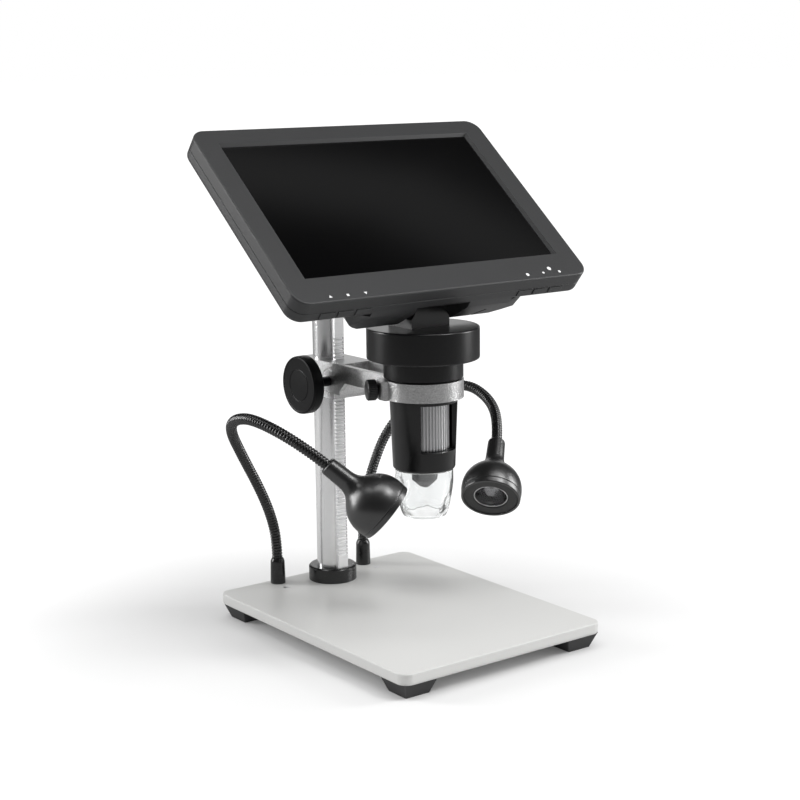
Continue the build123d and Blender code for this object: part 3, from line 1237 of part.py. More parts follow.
def ferrule(x):
    """Tapered metal socket screwed into the deck; the neck turns in it."""
    top = DECK_Z + FERRULE_HEIGHT
    floor_z = top - FERRULE_SOCKET
    turned = lathe([
        (0, DECK_Z - FERRULE_STUD), (FERRULE_STUD_R, DECK_Z - FERRULE_STUD),
        (FERRULE_STUD_R, DECK_Z), (FERRULE_R, DECK_Z), (FERRULE_TOP_R, top - FERRULE_SHOULDER),
        (NECK_TUBE_R + NECK_SOCKET_GAP + FERRULE_LIP, top), (NECK_TUBE_R + NECK_SOCKET_GAP, top),
        (NECK_TUBE_R + NECK_SOCKET_GAP, floor_z), (0, floor_z)])
    return Pos(x, LAMP_Y, 0) * turned


def bowed(start, end, sag):
    """Arc between two (radius, height) points, bowed away from the chord's right by sag."""
    (r0, z0), (r1, z1) = start, end
    length = ((r1 - r0) ** 2 + (z1 - z0) ** 2) ** 0.5
    middle = ((r0 + r1) / 2 + sag * (z1 - z0) / length, 0,
              (z0 + z1) / 2 - sag * (r1 - r0) / length)
    return ThreePointArc((r0, 0, z0), middle, (r1, 0, z1))


def lamp_shade():
    """Bell with a stem that takes the neck, made along Z with its mouth up."""
    inside_r = LAMP_RIM_R - LAMP_WALL
    shoulder = LAMP_STEM_R - LAMP_STEM_ROUND
    quarter_sag = LAMP_STEM_ROUND * (1 - cos(pi / 4))
    outer = (Line((0, 0, 0), (shoulder, 0, 0))
             + bowed((shoulder, 0), (LAMP_STEM_R, LAMP_STEM_ROUND), quarter_sag)
             + Line((LAMP_STEM_R, 0, LAMP_STEM_ROUND), (LAMP_STEM_END_R, 0, LAMP_STEM))
             + bowed((LAMP_STEM_END_R, LAMP_STEM), (LAMP_FLARE_R, LAMP_FLARE), -LAMP_FLARE_SAG)
             + bowed((LAMP_FLARE_R, LAMP_FLARE), (LAMP_BELLY_R, LAMP_BELLY), LAMP_BELLY_SAG)
             + Line((LAMP_BELLY_R, 0, LAMP_BELLY), (LAMP_RIM_R, 0, LAMP_LENGTH))
             + Line((LAMP_RIM_R, 0, LAMP_LENGTH), (0, 0, LAMP_LENGTH))
             + Line((0, 0, LAMP_LENGTH), (0, 0, 0)))
    bell = revolve(make_face(outer), Axis.Z)
    bell -= lathe([(0, LAMP_BEZEL_BACK), (inside_r, LAMP_BEZEL_BACK),
                   (inside_r, LAMP_LENGTH), (0, LAMP_LENGTH)])
    bell -= lathe([(0, LED_SEAT), (REFLECTOR_R - LAMP_BOARD_INSET, LED_SEAT),
                   (inside_r - LAMP_WALL, LAMP_BEZEL_BACK), (0, LAMP_BEZEL_BACK)])
    groove_r = LAMP_RIM_R - LAMP_GROOVE_DEPTH
    bell -= lathe([(groove_r, LAMP_GROOVE), (LAMP_BELLY_R, LAMP_GROOVE),
                   (LAMP_BELLY_R, LAMP_GROOVE + LAMP_GROOVE_WIDTH),
                   (groove_r, LAMP_GROOVE + LAMP_GROOVE_WIDTH)])
    return bell - post(0, 0, 0, LAMP_SOCKET, NECK_TUBE_R + NECK_SOCKET_GAP)


def lamp_bezel():
    """Black ring across the lamp's mouth with a round light opening."""
    front = LAMP_BEZEL_BACK + LAMP_BEZEL_THICKNESS
    return lathe([(REFLECTOR_R, LAMP_BEZEL_BACK), (LAMP_RIM_R - LAMP_WALL, LAMP_BEZEL_BACK),
                  (LAMP_RIM_R - LAMP_WALL, front), (REFLECTOR_R, front)])


def lamp_reflector():
    """Bright cone from the lamp's board to the bezel's opening."""
    wall = REFLECTOR_WALL
    bulge_r = REFLECTOR_R * REFLECTOR_BULGE
    bulge = LED_TOP + (LAMP_BEZEL_BACK - LED_TOP) * 0.6
    return lathe([(REFLECTOR_NECK_R, LED_TOP), (REFLECTOR_NECK_R + wall, LED_TOP),
                  (bulge_r + wall, bulge), (REFLECTOR_R + wall, LAMP_BEZEL_BACK),
                  (REFLECTOR_R, LAMP_BEZEL_BACK), (bulge_r, bulge)])


def lamp_led():
    """Lamp board with one domed light source."""
    board = post(0, 0, LED_SEAT, LED_TOP, REFLECTOR_R - LAMP_BOARD_INSET)
    stem_top = LED_TOP + LAMP_LED_STAND
    dome = Pos(0, 0, stem_top) * Sphere(LAMP_LED_R)
    return board + post(0, 0, LED_TOP, stem_top, LAMP_LED_R) + dome


def lamp_lens():
    """Clear disc in the bezel's opening."""
    return post(0, 0, LAMP_BEZEL_BACK, LAMP_BEZEL_BACK + LAMP_LENS_THICKNESS, REFLECTOR_R)


def neck_route(foot, middle, stem, mouth, run):
    """Points of a neck from its ferrule's socket to the lamp's."""
    socket = FERRULE_HEIGHT - FERRULE_SOCKET
    start = [foot + Vector(0, 0, socket), foot + Vector(0, 0, FERRULE_HEIGHT + FERRULE_RUN)]
    end = [stem - mouth * run, stem + mouth * LAMP_SOCKET]
    return start + [foot + Vector(*point) for point in middle] + end


lamps = {
    "lamp_left": (-LAMP_X, LAMP_LEFT_NECK, LAMP_LEFT_STEM, LAMP_LEFT_AIM, LAMP_LEFT_RUN),
    "lamp_right": (LAMP_X, LAMP_RIGHT_NECK, LAMP_RIGHT_STEM, LAMP_RIGHT_AIM, LAMP_RIGHT_RUN)}
for name, (x, middle, stem, aim, run) in lamps.items():
    foot_place = Vector(x, LAMP_Y, DECK_Z)
    top_of_lamp = foot_place + Vector(*stem)
    mouth = Vector(*aim).normalized()
    route = neck_route(foot_place, middle, top_of_lamp, mouth, run)
    parts[name + "_neck_lower"], parts[name + "_neck_upper"] = neck(route, name)
    place = Plane(origin=top_of_lamp, z_dir=mouth).location
    for piece, make in (("shade", lamp_shade), ("bezel", lamp_bezel),
                        ("reflector", lamp_reflector), ("led", lamp_led),
                        ("lens", lamp_lens)):
        parts[f"{name}_{piece}"] = place * make()
parts["lamp_ferrules"] = group([ferrule(side * LAMP_X) for side in (-1, 1)])

os.makedirs("parts", exist_ok=True)
for name, shape in parts.items():
    export_step(shape, f"parts/{name}.step")
print(len(parts), "nodes")
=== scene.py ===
import json
from math import ceil, cos, hypot, pi, radians, sin

import bmesh
import bpy
from mathutils import Matrix, Vector


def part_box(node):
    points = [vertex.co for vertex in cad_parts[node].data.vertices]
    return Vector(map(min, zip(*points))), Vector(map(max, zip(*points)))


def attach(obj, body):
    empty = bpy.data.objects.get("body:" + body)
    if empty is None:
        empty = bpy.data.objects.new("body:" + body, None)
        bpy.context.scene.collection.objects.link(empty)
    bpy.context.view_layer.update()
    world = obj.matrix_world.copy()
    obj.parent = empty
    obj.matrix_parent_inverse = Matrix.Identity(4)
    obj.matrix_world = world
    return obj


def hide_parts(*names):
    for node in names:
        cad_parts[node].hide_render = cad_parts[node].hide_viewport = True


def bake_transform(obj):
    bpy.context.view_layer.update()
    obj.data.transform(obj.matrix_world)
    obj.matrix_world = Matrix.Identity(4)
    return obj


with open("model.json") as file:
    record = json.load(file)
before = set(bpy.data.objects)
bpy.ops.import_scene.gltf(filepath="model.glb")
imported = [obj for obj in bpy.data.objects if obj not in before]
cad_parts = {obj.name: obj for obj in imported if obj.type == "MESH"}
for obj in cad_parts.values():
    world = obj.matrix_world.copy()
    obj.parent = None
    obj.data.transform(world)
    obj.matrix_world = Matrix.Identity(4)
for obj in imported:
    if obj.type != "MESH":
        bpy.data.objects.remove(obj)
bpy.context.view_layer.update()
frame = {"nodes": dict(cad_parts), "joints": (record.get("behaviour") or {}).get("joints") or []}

# Studio: a white sweep in a pale room, of which shiny skins mirror only the wall
# behind and the table. A long softbox hangs overhead, the key to the right of the
# camera, a tall one on each side, and a weak strip puts a sheen on the display.
CAMERA_PLACE = (-0.51994, -0.69418, 0.29660)
CAMERA_AZIMUTH = -36.752
CAMERA_ELEVATION = 11.186
CAMERA_ROLL = -0.691
CAMERA_LENS = 76.92
CAMERA_SENSOR = 36.0
SWEEP_REACH = 30.0
SWEEP_COLOUR = (0.64, 0.64, 0.64, 1)
SWEEP_GLOW = 1.12
SWEEP_VEIL = (0.05, 1.0)
SWEEP_FADE = (0.12, 0.27)
TABLE_EDGE = (0.50, 0.80)
TABLE_MIRRORED = 0.45
ROOM_DIM = 0.06
ROOM_COLOUR = (0.11, 0.11, 0.11, 1)
SKY_LOW = 1.0
SKY_HIGH = 0.62
SKY_RISE = 0.6
WALL_SPREAD = (0.80, 0.96)
# name: degrees to the right of the camera, distance, height, width, tallness, power, lean
LAMPS = {
    "overhead_softbox": (30, 0.28, 1.44, 0.48, 2.3, 13.0, 60),
    "key_softbox": (64, 1.15, 1.55, 0.52, 0.50, 9.0, 0),
    "left_softbox": (-98, 1.7, 0.60, 0.36, 1.1, 18.0, 0),
    "right_softbox": (100, 1.7, 0.55, 0.46, 1.1, 20.0, 0),
    "display_sheen": (136, 1.1875, 1.838, 0.19, 1.7, 0.46, -50),
}
LAMP_TARGET = Vector((0, 0, 0.14))

scene = bpy.context.scene
scene.view_settings.view_transform = "Standard"
aside = Vector((cos(radians(CAMERA_AZIMUTH)), sin(radians(CAMERA_AZIMUTH)), 0))
away = Vector((-aside.y, aside.x, 0))


def measure(nodes, links, operation, place, heading=(0, 0, 0)):
    """Socket of a vector's length, or of how far it runs along a heading."""
    ruler = nodes.new("ShaderNodeVectorMath")
    ruler.operation = operation
    ruler.inputs[1].default_value = heading
    links.new(place, ruler.inputs[0])
    return ruler.outputs["Value"]


def map_range(nodes, links, value, limits, results=(0.0, 1.0), smooth=False):
    """Socket that goes from one result to the other as a value crosses its limits."""
    ramp = nodes.new("ShaderNodeMapRange")
    ramp.interpolation_type = "SMOOTHSTEP" if smooth else "LINEAR"
    for name, number in zip(("From Min", "From Max", "To Min", "To Max"), (*limits, *results)):
        ramp.inputs[name].default_value = number
    links.new(value, ramp.inputs["Value"])
    return ramp.outputs["Result"]


def math_node(nodes, links, operation, *values):
    """Socket of one sum on sockets and numbers."""
    sum_node = nodes.new("ShaderNodeMath")
    sum_node.operation = operation
    for socket, value in zip(sum_node.inputs, values):
        if isinstance(value, (int, float)):
            socket.default_value = value
        else:
            links.new(value, socket)
    return sum_node.outputs[0]


def mix_shaders(nodes, links, share, first, second):
    """Socket of two shaders, the second laid over the first by a share."""
    mix = nodes.new("ShaderNodeMixShader")
    for socket, source in zip(mix.inputs, (share, first, second)):
        links.new(source, socket)
    return mix.outputs[0]


def backdrop_share(nodes, links, lit):
    """Sockets of how far a ray sees the white backdrop, and how far it mirrors a dim one."""
    path = nodes.new("ShaderNodeLightPath")
    glossy = path.outputs["Is Glossy Ray"]
    direct = math_node(nodes, links, "MAXIMUM", path.outputs["Is Camera Ray"],
                       path.outputs["Is Transmission Ray"])
    seen = math_node(nodes, links, "MAXIMUM", direct,
                     math_node(nodes, links, "MULTIPLY", glossy, lit))
    unlit = math_node(nodes, links, "SUBTRACT", glossy, seen)
    return seen, math_node(nodes, links, "MAXIMUM", unlit, 0.0)


camera = bpy.data.objects.new("camera", bpy.data.cameras.new("camera"))
scene.collection.objects.link(camera)
camera.data.lens = CAMERA_LENS
camera.data.sensor_width = CAMERA_SENSOR
camera.matrix_world = (
    Matrix.Translation(CAMERA_PLACE)
    @ Matrix.Rotation(radians(CAMERA_AZIMUTH), 4, "Z")
    @ Matrix.Rotation(radians(90 - CAMERA_ELEVATION), 4, "X")
    @ Matrix.Rotation(radians(CAMERA_ROLL), 4, "Z"))
scene.camera = camera

sky = bpy.data.worlds.new("studio")
scene.world = sky
sky.use_nodes = True
sky_nodes, sky_links = sky.node_tree.nodes, sky.node_tree.links
sky_nodes.clear()
toward = sky_nodes.new("ShaderNodeTexCoord").outputs["Generated"]
behind = measure(sky_nodes, sky_links, "DOT_PRODUCT", toward, away)
white, dim = backdrop_share(
    sky_nodes, sky_links, map_range(sky_nodes, sky_links, behind, WALL_SPREAD, smooth=True))
split = sky_nodes.new("ShaderNodeSeparateXYZ")
sky_links.new(toward, split.inputs[0])
wall = map_range(sky_nodes, sky_links, split.outputs["Z"], (0, SKY_RISE), (SKY_LOW, SKY_HIGH))
room = sky_nodes.new("ShaderNodeMix")
sky_links.new(dim, room.inputs["Factor"])
sky_links.new(wall, room.inputs["A"])
room.inputs["B"].default_value = ROOM_DIM
backdrop = sky_nodes.new("ShaderNodeBackground")
backdrop.inputs["Color"].default_value = (1, 1, 1, 1)
sky_links.new(math_node(sky_nodes, sky_links, "MAXIMUM", room.outputs["Result"], white),
              backdrop.inputs["Strength"])
sky_links.new(backdrop.outputs[0], sky_nodes.new("ShaderNodeOutputWorld").inputs["Surface"])

sweep_mesh = bpy.data.meshes.new("sweep")
sweep_mesh.from_pydata(
    [(x, y, 0) for x, y in ((-1, -1), (1, -1), (1, 1), (-1, 1))], [], [(0, 1, 2, 3)])
sweep_mesh.transform(Matrix.Scale(SWEEP_REACH, 4))
sweep = bpy.data.objects.new("sweep", sweep_mesh)
scene.collection.objects.link(sweep)
sweep_finish = bpy.data.materials.new("sweep_white")
sweep_finish.use_nodes = True
sweep_nodes, sweep_links = sweep_finish.node_tree.nodes, sweep_finish.node_tree.links
sweep_nodes.clear()
spot = sweep_nodes.new("ShaderNodeNewGeometry").outputs["Position"]
reach = measure(sweep_nodes, sweep_links, "LENGTH", spot)
table = map_range(sweep_nodes, sweep_links, reach, TABLE_EDGE, (TABLE_MIRRORED, 0.0), smooth=True)
white, dim = backdrop_share(sweep_nodes, sweep_links, table)
paper = sweep_nodes.new("ShaderNodeBsdfDiffuse")
paper.inputs["Color"].default_value = SWEEP_COLOUR
glow = sweep_nodes.new("ShaderNodeEmission")
glow.inputs["Strength"].default_value = SWEEP_GLOW
fade = map_range(sweep_nodes, sweep_links, reach, SWEEP_FADE, SWEEP_VEIL, smooth=True)
veil = math_node(sweep_nodes, sweep_links, "MULTIPLY", white, fade)
veiled = mix_shaders(sweep_nodes, sweep_links, veil, paper.outputs[0], glow.outputs[0])
carpet = sweep_nodes.new("ShaderNodeBsdfDiffuse")
carpet.inputs["Color"].default_value = ROOM_COLOUR
whole = mix_shaders(sweep_nodes, sweep_links, dim, veiled, carpet.outputs[0])
sweep_links.new(whole, sweep_nodes.new("ShaderNodeOutputMaterial").inputs["Surface"])
sweep.data.materials.append(sweep_finish)

for name, (turn, distance, height, width, tallness, power, lean) in LAMPS.items():
    lamp = bpy.data.lights.new(name, "AREA")
    lamp.shape = "RECTANGLE"
    lamp.size = width
    lamp.size_y = tallness
    lamp.energy = power
    stand = bpy.data.objects.new(name, lamp)
    scene.collection.objects.link(stand)
    place = (aside * sin(radians(turn)) - away * cos(radians(turn))) * distance
    place.z = height
    facing = (LAMP_TARGET - place).to_track_quat("-Z", "Y")
    stand.matrix_world = (Matrix.Translation(place) @ facing.to_matrix().to_4x4()
                          @ Matrix.Rotation(radians(lean), 4, "Z"))

# Base plate: a shallow cast pan with a fine powder-coated skin, warm light grey
# on the deck. The sheet that closes it from below is painted the same.
PLATE_COLOUR = (0.49, 0.49, 0.48)
PLATE_EDGE = 0.0004
SMALL_EDGE = 0.0001
# octaves of the fine and the broad noise, and how much broader the second is
GRAIN_DETAIL = (4, 3)
GRAIN_BREADTH = (1, 30)
GRAIN_DEPTH = 0.0002
SMOOTHEST = 0.02
# pointiness at which rubbed edges start and end, and how much paler they are
WORN_EDGE = (0.52, 0.60)
WORN_GAIN = 2
WORN_LIFT = 0.04
SHARP_ANGLE = 35
EDGE_SEGMENTS = 2
WELD_REACH = 1e-6


def finish(name, colour, roughness, metallic=0.0, spread=0.06, grain=900.0, bump=0.05,
           stretch=(1, 1, 1), uneven=0.05, shine=1.5, worn=0.0):
    """Surface with its own grain: colour, roughness and height follow two layers of noise."""
    made = bpy.data.materials.new(name)
    made.use_nodes = True
    nodes, links = made.node_tree.nodes, made.node_tree.links
    skin = nodes["Principled BSDF"]
    skin.inputs["Metallic"].default_value = metallic
    skin.inputs["IOR"].default_value = shine
    place = nodes.new("ShaderNodeTexCoord")
    scale = nodes.new("ShaderNodeMapping")
    scale.inputs["Scale"].default_value = stretch
    links.new(place.outputs["Object"], scale.inputs["Vector"])
    layers = []
    for detail, breadth in zip(GRAIN_DETAIL, GRAIN_BREADTH):
        noise = nodes.new("ShaderNodeTexNoise")
        noise.inputs["Scale"].default_value = grain / breadth
        noise.inputs["Detail"].default_value = detail
        links.new(scale.outputs["Vector"], noise.inputs["Vector"])
        layers.append(noise.outputs["Fac"])
    fine, broad = layers
    both = math_node(nodes, links, "MULTIPLY_ADD", fine, 0.5,
                     math_node(nodes, links, "MULTIPLY", broad, 0.5))
    tint = nodes.new("ShaderNodeValToRGB")
    for stop, share in zip(tint.color_ramp.elements, (1 - spread, 1 + spread)):
        stop.color = [min(1.0, part * share) for part in colour] + [1]
    links.new(both, tint.inputs["Fac"])
    last = tint.outputs["Color"]
    if worn:
        rim = nodes.new("ShaderNodeNewGeometry").outputs["Pointiness"]
        rub = nodes.new("ShaderNodeMix")
        rub.data_type = "RGBA"
        rub.inputs["B"].default_value = [
            min(1.0, part * WORN_GAIN + WORN_LIFT) for part in colour] + [1]
        links.new(map_range(nodes, links, rim, WORN_EDGE, (0.0, worn)), rub.inputs["Factor"])
        links.new(last, rub.inputs["A"])
        last = rub.outputs["Result"]
    links.new(last, skin.inputs["Base Color"])
    polish = (max(SMOOTHEST, roughness - uneven), roughness + uneven)
    links.new(map_range(nodes, links, both, (0.0, 1.0), polish), skin.inputs["Roughness"])
    relief = nodes.new("ShaderNodeBump")
    relief.inputs["Strength"].default_value = bump
    relief.inputs["Distance"].default_value = GRAIN_DEPTH
    links.new(fine, relief.inputs["Height"])
    links.new(relief.outputs["Normal"], skin.inputs["Normal"])
    return made


def soften(thing, width):
    """Smooth shading with a small round on every sharp edge."""
    mesh = thing.data
    if "custom_normal" in mesh.attributes:
        mesh.attributes.remove(mesh.attributes["custom_normal"])
    mesh.shade_smooth()
    weld = thing.modifiers.new("weld", "WELD")
    weld.merge_threshold = WELD_REACH
    if width:
        edge = thing.modifiers.new("edge", "BEVEL")
        edge.limit_method = "ANGLE"
        edge.angle_limit = radians(SHARP_ANGLE)
        edge.width = width
        edge.segments = EDGE_SEGMENTS
        edge.use_clamp_overlap = True
    flat = thing.modifiers.new("even", "WEIGHTED_NORMAL")
    flat.keep_sharp = True


def dress(material, *names, edge=SMALL_EDGE):
    """Give CAD nodes their real surface and small rounded edges."""
    for name in names:
        node = frame["nodes"][name]
        node.data.materials.clear()
        node.data.materials.append(material)
        soften(node, edge)


powder_coat = finish("powder_coat", PLATE_COLOUR, 0.42, spread=0.025, grain=1500, bump=0.12)
dress(powder_coat, "base_plate", "base_bottom_cover", edge=PLATE_EDGE)

# Feet: four tapered blocks moulded in black rubber, each held by a screw that
# comes up through its middle into the pan.
FOOT_EDGE = 0.00025

foot_rubber = finish("foot_rubber", (0.034, 0.034, 0.035), 0.62, spread=0.2, grain=700,
                     bump=0.25, worn=0.3)
dress(foot_rubber, "rubber_feet", edge=FOOT_EDGE)

# Fasteners: zinc-plated screws, the column's bolt, the shaft and the pin that
# turn, and the shell of the lamps' power socket, all left bright.
zinc = finish("zinc_plate", (0.56, 0.56, 0.57), 0.32, metallic=1, spread=0.1, grain=600)
dress(zinc, "base_fasteners", "hinge_screws", "screen_screws", "hinge_pin", "pinion_shaft",
      "lamp_power_socket")

# Circuit boards: green solder mask with pale copper tracks under it, darker
# where the chips sit. All but the ring light's are closed in.
BOARD_CELL = 0.0064
TRACK_SHARE = 0.02
CELL_SHADE = 0.7


def board_finish(name, mask, track):
    """Solder mask whose tracks run in square cells of different tone."""
    made = finish(name, mask, 0.35, spread=0.15, grain=500, bump=0.02)
    nodes, links = made.node_tree.nodes, made.node_tree.links
    cells = nodes.new("ShaderNodeTexBrick")
    cells.inputs["Scale"].default_value = 1 / BOARD_CELL
    cells.inputs["Mortar Size"].default_value = TRACK_SHARE
    cells.inputs["Color1"].default_value = (*mask, 1)
    cells.inputs["Color2"].default_value = (*[part * CELL_SHADE for part in mask], 1)
    cells.inputs["Mortar"].default_value = (*track, 1)
    place = nodes.new("ShaderNodeTexCoord")
    links.new(place.outputs["Object"], cells.inputs["Vector"])
    links.new(cells.outputs["Color"], nodes["Principled BSDF"].inputs["Base Color"])
    return made


green_board = board_finish("green_board", (0.015, 0.12, 0.04), (0.10, 0.28, 0.10))
dress(green_board, "lamp_driver_board", "sensor_board", "camera_board", "main_board",
      "button_boards")

# Column: a thick aluminium tube, drawn, polished and clear anodised, so its
# fine marks run up and down. The toothed rack let into its front is milled
# and a little duller.
TUBE_EDGE = 0.00015
RACK_EDGE = 0.00008

drawn_tube = finish("drawn_tube", (0.94, 0.94, 0.95), 0.26, metallic=0.85, spread=0.10,
                    grain=1200, bump=0.04, stretch=(1, 1, 0.02), uneven=0.08)
milled_rack = finish("milled_rack", (0.93, 0.93, 0.94), 0.38, metallic=0.7, spread=0.14,
                     grain=900, bump=0.12, stretch=(0.1, 1, 1), uneven=0.08)
dress(drawn_tube, "column_tube", edge=TUBE_EDGE)
dress(milled_rack, "column_rack", edge=RACK_EDGE)

# Collar and ferrules: turned aluminium, anodised black to a satin sheen with
# faint turning marks.
COLLAR_EDGE = 0.00025

black_anodised = finish("black_anodised", (0.005, 0.005, 0.0054), 0.26, spread=0.2,
                        grain=800, bump=0.05, shine=1.6, worn=0.25)
dress(black_anodised, "column_collar", "lamp_ferrules", edge=COLLAR_EDGE)

# Carriage: one aluminium casting, tumbled and blasted to an even frost, that
# slides on the column and holds the camera head in its ring.
CASTING_COLOUR = (0.70, 0.70, 0.71)
CASTING_EDGE = 0.0004

frosted_casting = finish("frosted_casting", CASTING_COLOUR, 0.36, metallic=1, spread=0.85,
                         grain=1250, bump=1.0, uneven=0.15)
dress(frosted_casting, "focus_carriage", "pinion_bush", edge=CASTING_EDGE)

# Clamp screw: a steel thread moulded into a black knurled head that the
# fingers turn to free the camera head.
RING_HALF_HEIGHT = 0.00475
RING_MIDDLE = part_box("focus_carriage")[1].z - RING_HALF_HEIGHT
HEAD_AXIS = Vector((0, (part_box("head_lid")[0].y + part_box("head_lid")[1].y) / 2, 0))
CLAMP_ANGLE = 157.0
CLAMP_TIP = 0.01745
CLAMP_HEAD = (0.0249, 0.0296)
CLAMP_RADIUS = 0.00535
CLAMP_EDGE = 0.0005
CLAMP_RIDGES = 36
CLAMP_RIDGE_DEPTH = 0.00022
CLAMP_SHANK_RADIUS = 0.0020
CLAMP_NECK_RADIUS = 0.0030
CLAMP_NECK_START = 0.0240
CLAMP_STEPS = 288


def tube_mesh(name, rings, loop=False):
    """Closed skin over a list of rings of points; a ring of one point is a tip."""
    shape = bmesh.new()
    skin = [[shape.verts.new(point) for point in ring] for ring in rings]
    pairs = list(zip(skin, skin[1:]))
    if loop:
        pairs.append((skin[-1], skin[0]))
    for low, high in pairs:
        count = max(len(low), len(high))
        for i in range(count):
            j = (i + 1) % count
            corners = [low[i % len(low)], low[j % len(low)],
                       high[j % len(high)], high[i % len(high)]]
            shape.faces.new(list(dict.fromkeys(corners)))
    if not loop:
        for end in (skin[0], skin[-1]):
            if len(end) > 1:
                shape.faces.new(end)
    bmesh.ops.recalc_face_normals(shape, faces=shape.faces)
    mesh = bpy.data.meshes.new(name)
    shape.to_mesh(mesh)
    shape.free()
    return mesh


def add_piece(mesh, material, body, *nodes, slot=None, edge=0.0):
    """Show a piece made here, riding on its body, in place of the nodes named."""
    thing = bpy.data.objects.new(mesh.name, mesh)
    scene.collection.objects.link(thing)
    mesh.materials.append(material)
    soften(thing, edge)
    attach(thing, body)
    if nodes:
        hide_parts(*nodes)


def circle(radius, height, steps, flutes=0, depth=0.0):
    """Ring of points about Z, wavy where it has flutes."""
    if radius == 0:
        return [(0, 0, height)]
    turns = [2 * pi * i / steps for i in range(steps)]
    radii = [radius - depth * (0.5 - 0.5 * cos(flutes * turn)) for turn in turns]
    return [(r * cos(turn), r * sin(turn), height) for r, turn in zip(radii, turns)]


# radius, distance along the screw and how knurled
CLAMP_PROFILE = [
    (0, CLAMP_TIP, 0), (CLAMP_SHANK_RADIUS, CLAMP_TIP, 0),
    (CLAMP_SHANK_RADIUS, CLAMP_NECK_START, 0), (CLAMP_NECK_RADIUS, CLAMP_NECK_START, 0),
    (CLAMP_NECK_RADIUS, CLAMP_HEAD[0], 0), (CLAMP_RADIUS - CLAMP_EDGE, CLAMP_HEAD[0], 0),
    (CLAMP_RADIUS, CLAMP_HEAD[0] + CLAMP_EDGE, 1), (CLAMP_RADIUS, CLAMP_HEAD[1] - CLAMP_EDGE, 1),
    (CLAMP_RADIUS - CLAMP_EDGE, CLAMP_HEAD[1], 0), (0, CLAMP_HEAD[1], 0)]
clamp_mesh = tube_mesh("clamp_thumb_screw_knurled", [
    circle(r, z, CLAMP_STEPS, CLAMP_RIDGES, CLAMP_RIDGE_DEPTH * share)
    for r, z, share in CLAMP_PROFILE])
clamp_mesh.transform(
    Matrix.Translation(HEAD_AXIS + Vector((0, 0, RING_MIDDLE)))
    @ Matrix.Rotation(radians(CLAMP_ANGLE), 4, "Z") @ Matrix.Rotation(radians(90), 4, "Y"))
moulded_black = finish("moulded_black", (0.006, 0.006, 0.0064), 0.36, spread=0.18, grain=1100,
                       bump=0.12, worn=0.15)
add_piece(clamp_mesh, moulded_black, "clamp_screw", "clamp_thumb_screw")

# Hand wheels: turned aluminium, anodised black, one on each end of the pinion
# shaft. Each has a small bead round its rim and a groove in its face.
KNOB_HUB_RADIUS = 0.00265
KNOB_BORE_RADIUS = 0.0020
KNOB_COVER = 0.0018
KNOB_STEPS = 144
DEEP_BLACK = (0.003, 0.003, 0.0033)
# radius and depth behind the face; the last one is where the hub starts
KNOB_PROFILE = [
    (0.0, 0.0003), (0.0081, 0.0003), (0.0083, 0.0005), (0.0085, 0.0006), (0.0087, 0.0005),
    (0.0089, 0.0003), (0.0138, 0.0003), (0.0142, 0.0001), (0.0147, 0.0), (0.0151, 0.0002),
    (0.0153, 0.0005), (0.0154, 0.0009), (0.0153, 0.0013), (0.0153, 0.0015), (0.0155, 0.0018),
    (0.0155, 0.0056), (0.0153, 0.0061), (0.0148, 0.0065), (0.0040, 0.0065),
    (KNOB_HUB_RADIUS, 0.0067)]

knob_black = finish("knob_black", DEEP_BLACK, 0.36, spread=0.2, grain=700,
                    bump=0.04, shine=1.25)
for side, turn in (("left", -90), ("right", 90)):
    low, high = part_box(f"focus_knob_{side}")
    depth = high.x - low.x
    bore = [(KNOB_HUB_RADIUS, depth), (KNOB_BORE_RADIUS, depth),
            (KNOB_BORE_RADIUS, KNOB_COVER), (0.0, KNOB_COVER)]
    knob_mesh = tube_mesh(f"focus_knob_{side}_turned", [
        circle(r, -d, KNOB_STEPS) for r, d in KNOB_PROFILE + bore])
    face = low.x if side == "left" else high.x
    knob_mesh.transform(
        Matrix.Translation((face, (low.y + high.y) / 2, (low.z + high.z) / 2))
        @ Matrix.Rotation(radians(turn), 4, "Y"))
    add_piece(knob_mesh, knob_black, "pinion", f"focus_knob_{side}")

# Barrel: a black turned sleeve, tapering down, with a wide window through
# which the ribbed focusing wheel is turned.
BARREL_EDGE = 0.0002
WHEEL_EDGE = 0.00008

barrel_black = finish("barrel_black", DEEP_BLACK, 0.29, spread=0.12, grain=1400,
                      bump=0.08, shine=1.5, worn=0.1)
dress(barrel_black, "barrel", edge=BARREL_EDGE)
wheel_metal = finish("wheel_metal", (0.50, 0.50, 0.51), 0.30, metallic=1, spread=0.12,
                     grain=900, bump=0.05, stretch=(1, 1, 0.05), worn=1.0)
dress(wheel_metal, "focus_wheel", edge=WHEEL_EDGE)

# Lens: a black tube with a conical nose slides in two plastic guide rings.
# Its glass is coated, so it shines blue and purple.
GUIDE_EDGE = 0.00015
GLASS_EDGE = 0.0002

dress(moulded_black, "wheel_guides", "lens_carrier", edge=GUIDE_EDGE)


def clear(name, colour, roughness, refraction, haze=0.0):
    """Clear moulded or ground material with a slightly uneven skin."""
    made = finish(name, colour, roughness, spread=0.01, grain=180, bump=0.05, uneven=0.01,
                  shine=refraction)
    skin = made.node_tree.nodes["Principled BSDF"]
    skin.inputs["Transmission Weight"].default_value = 1 - haze
    return made


coated_glass = clear("coated_glass", (0.50, 0.45, 0.75), 0.03, 1.6)
dress(coated_glass, "objective_lenses", edge=GLASS_EDGE)

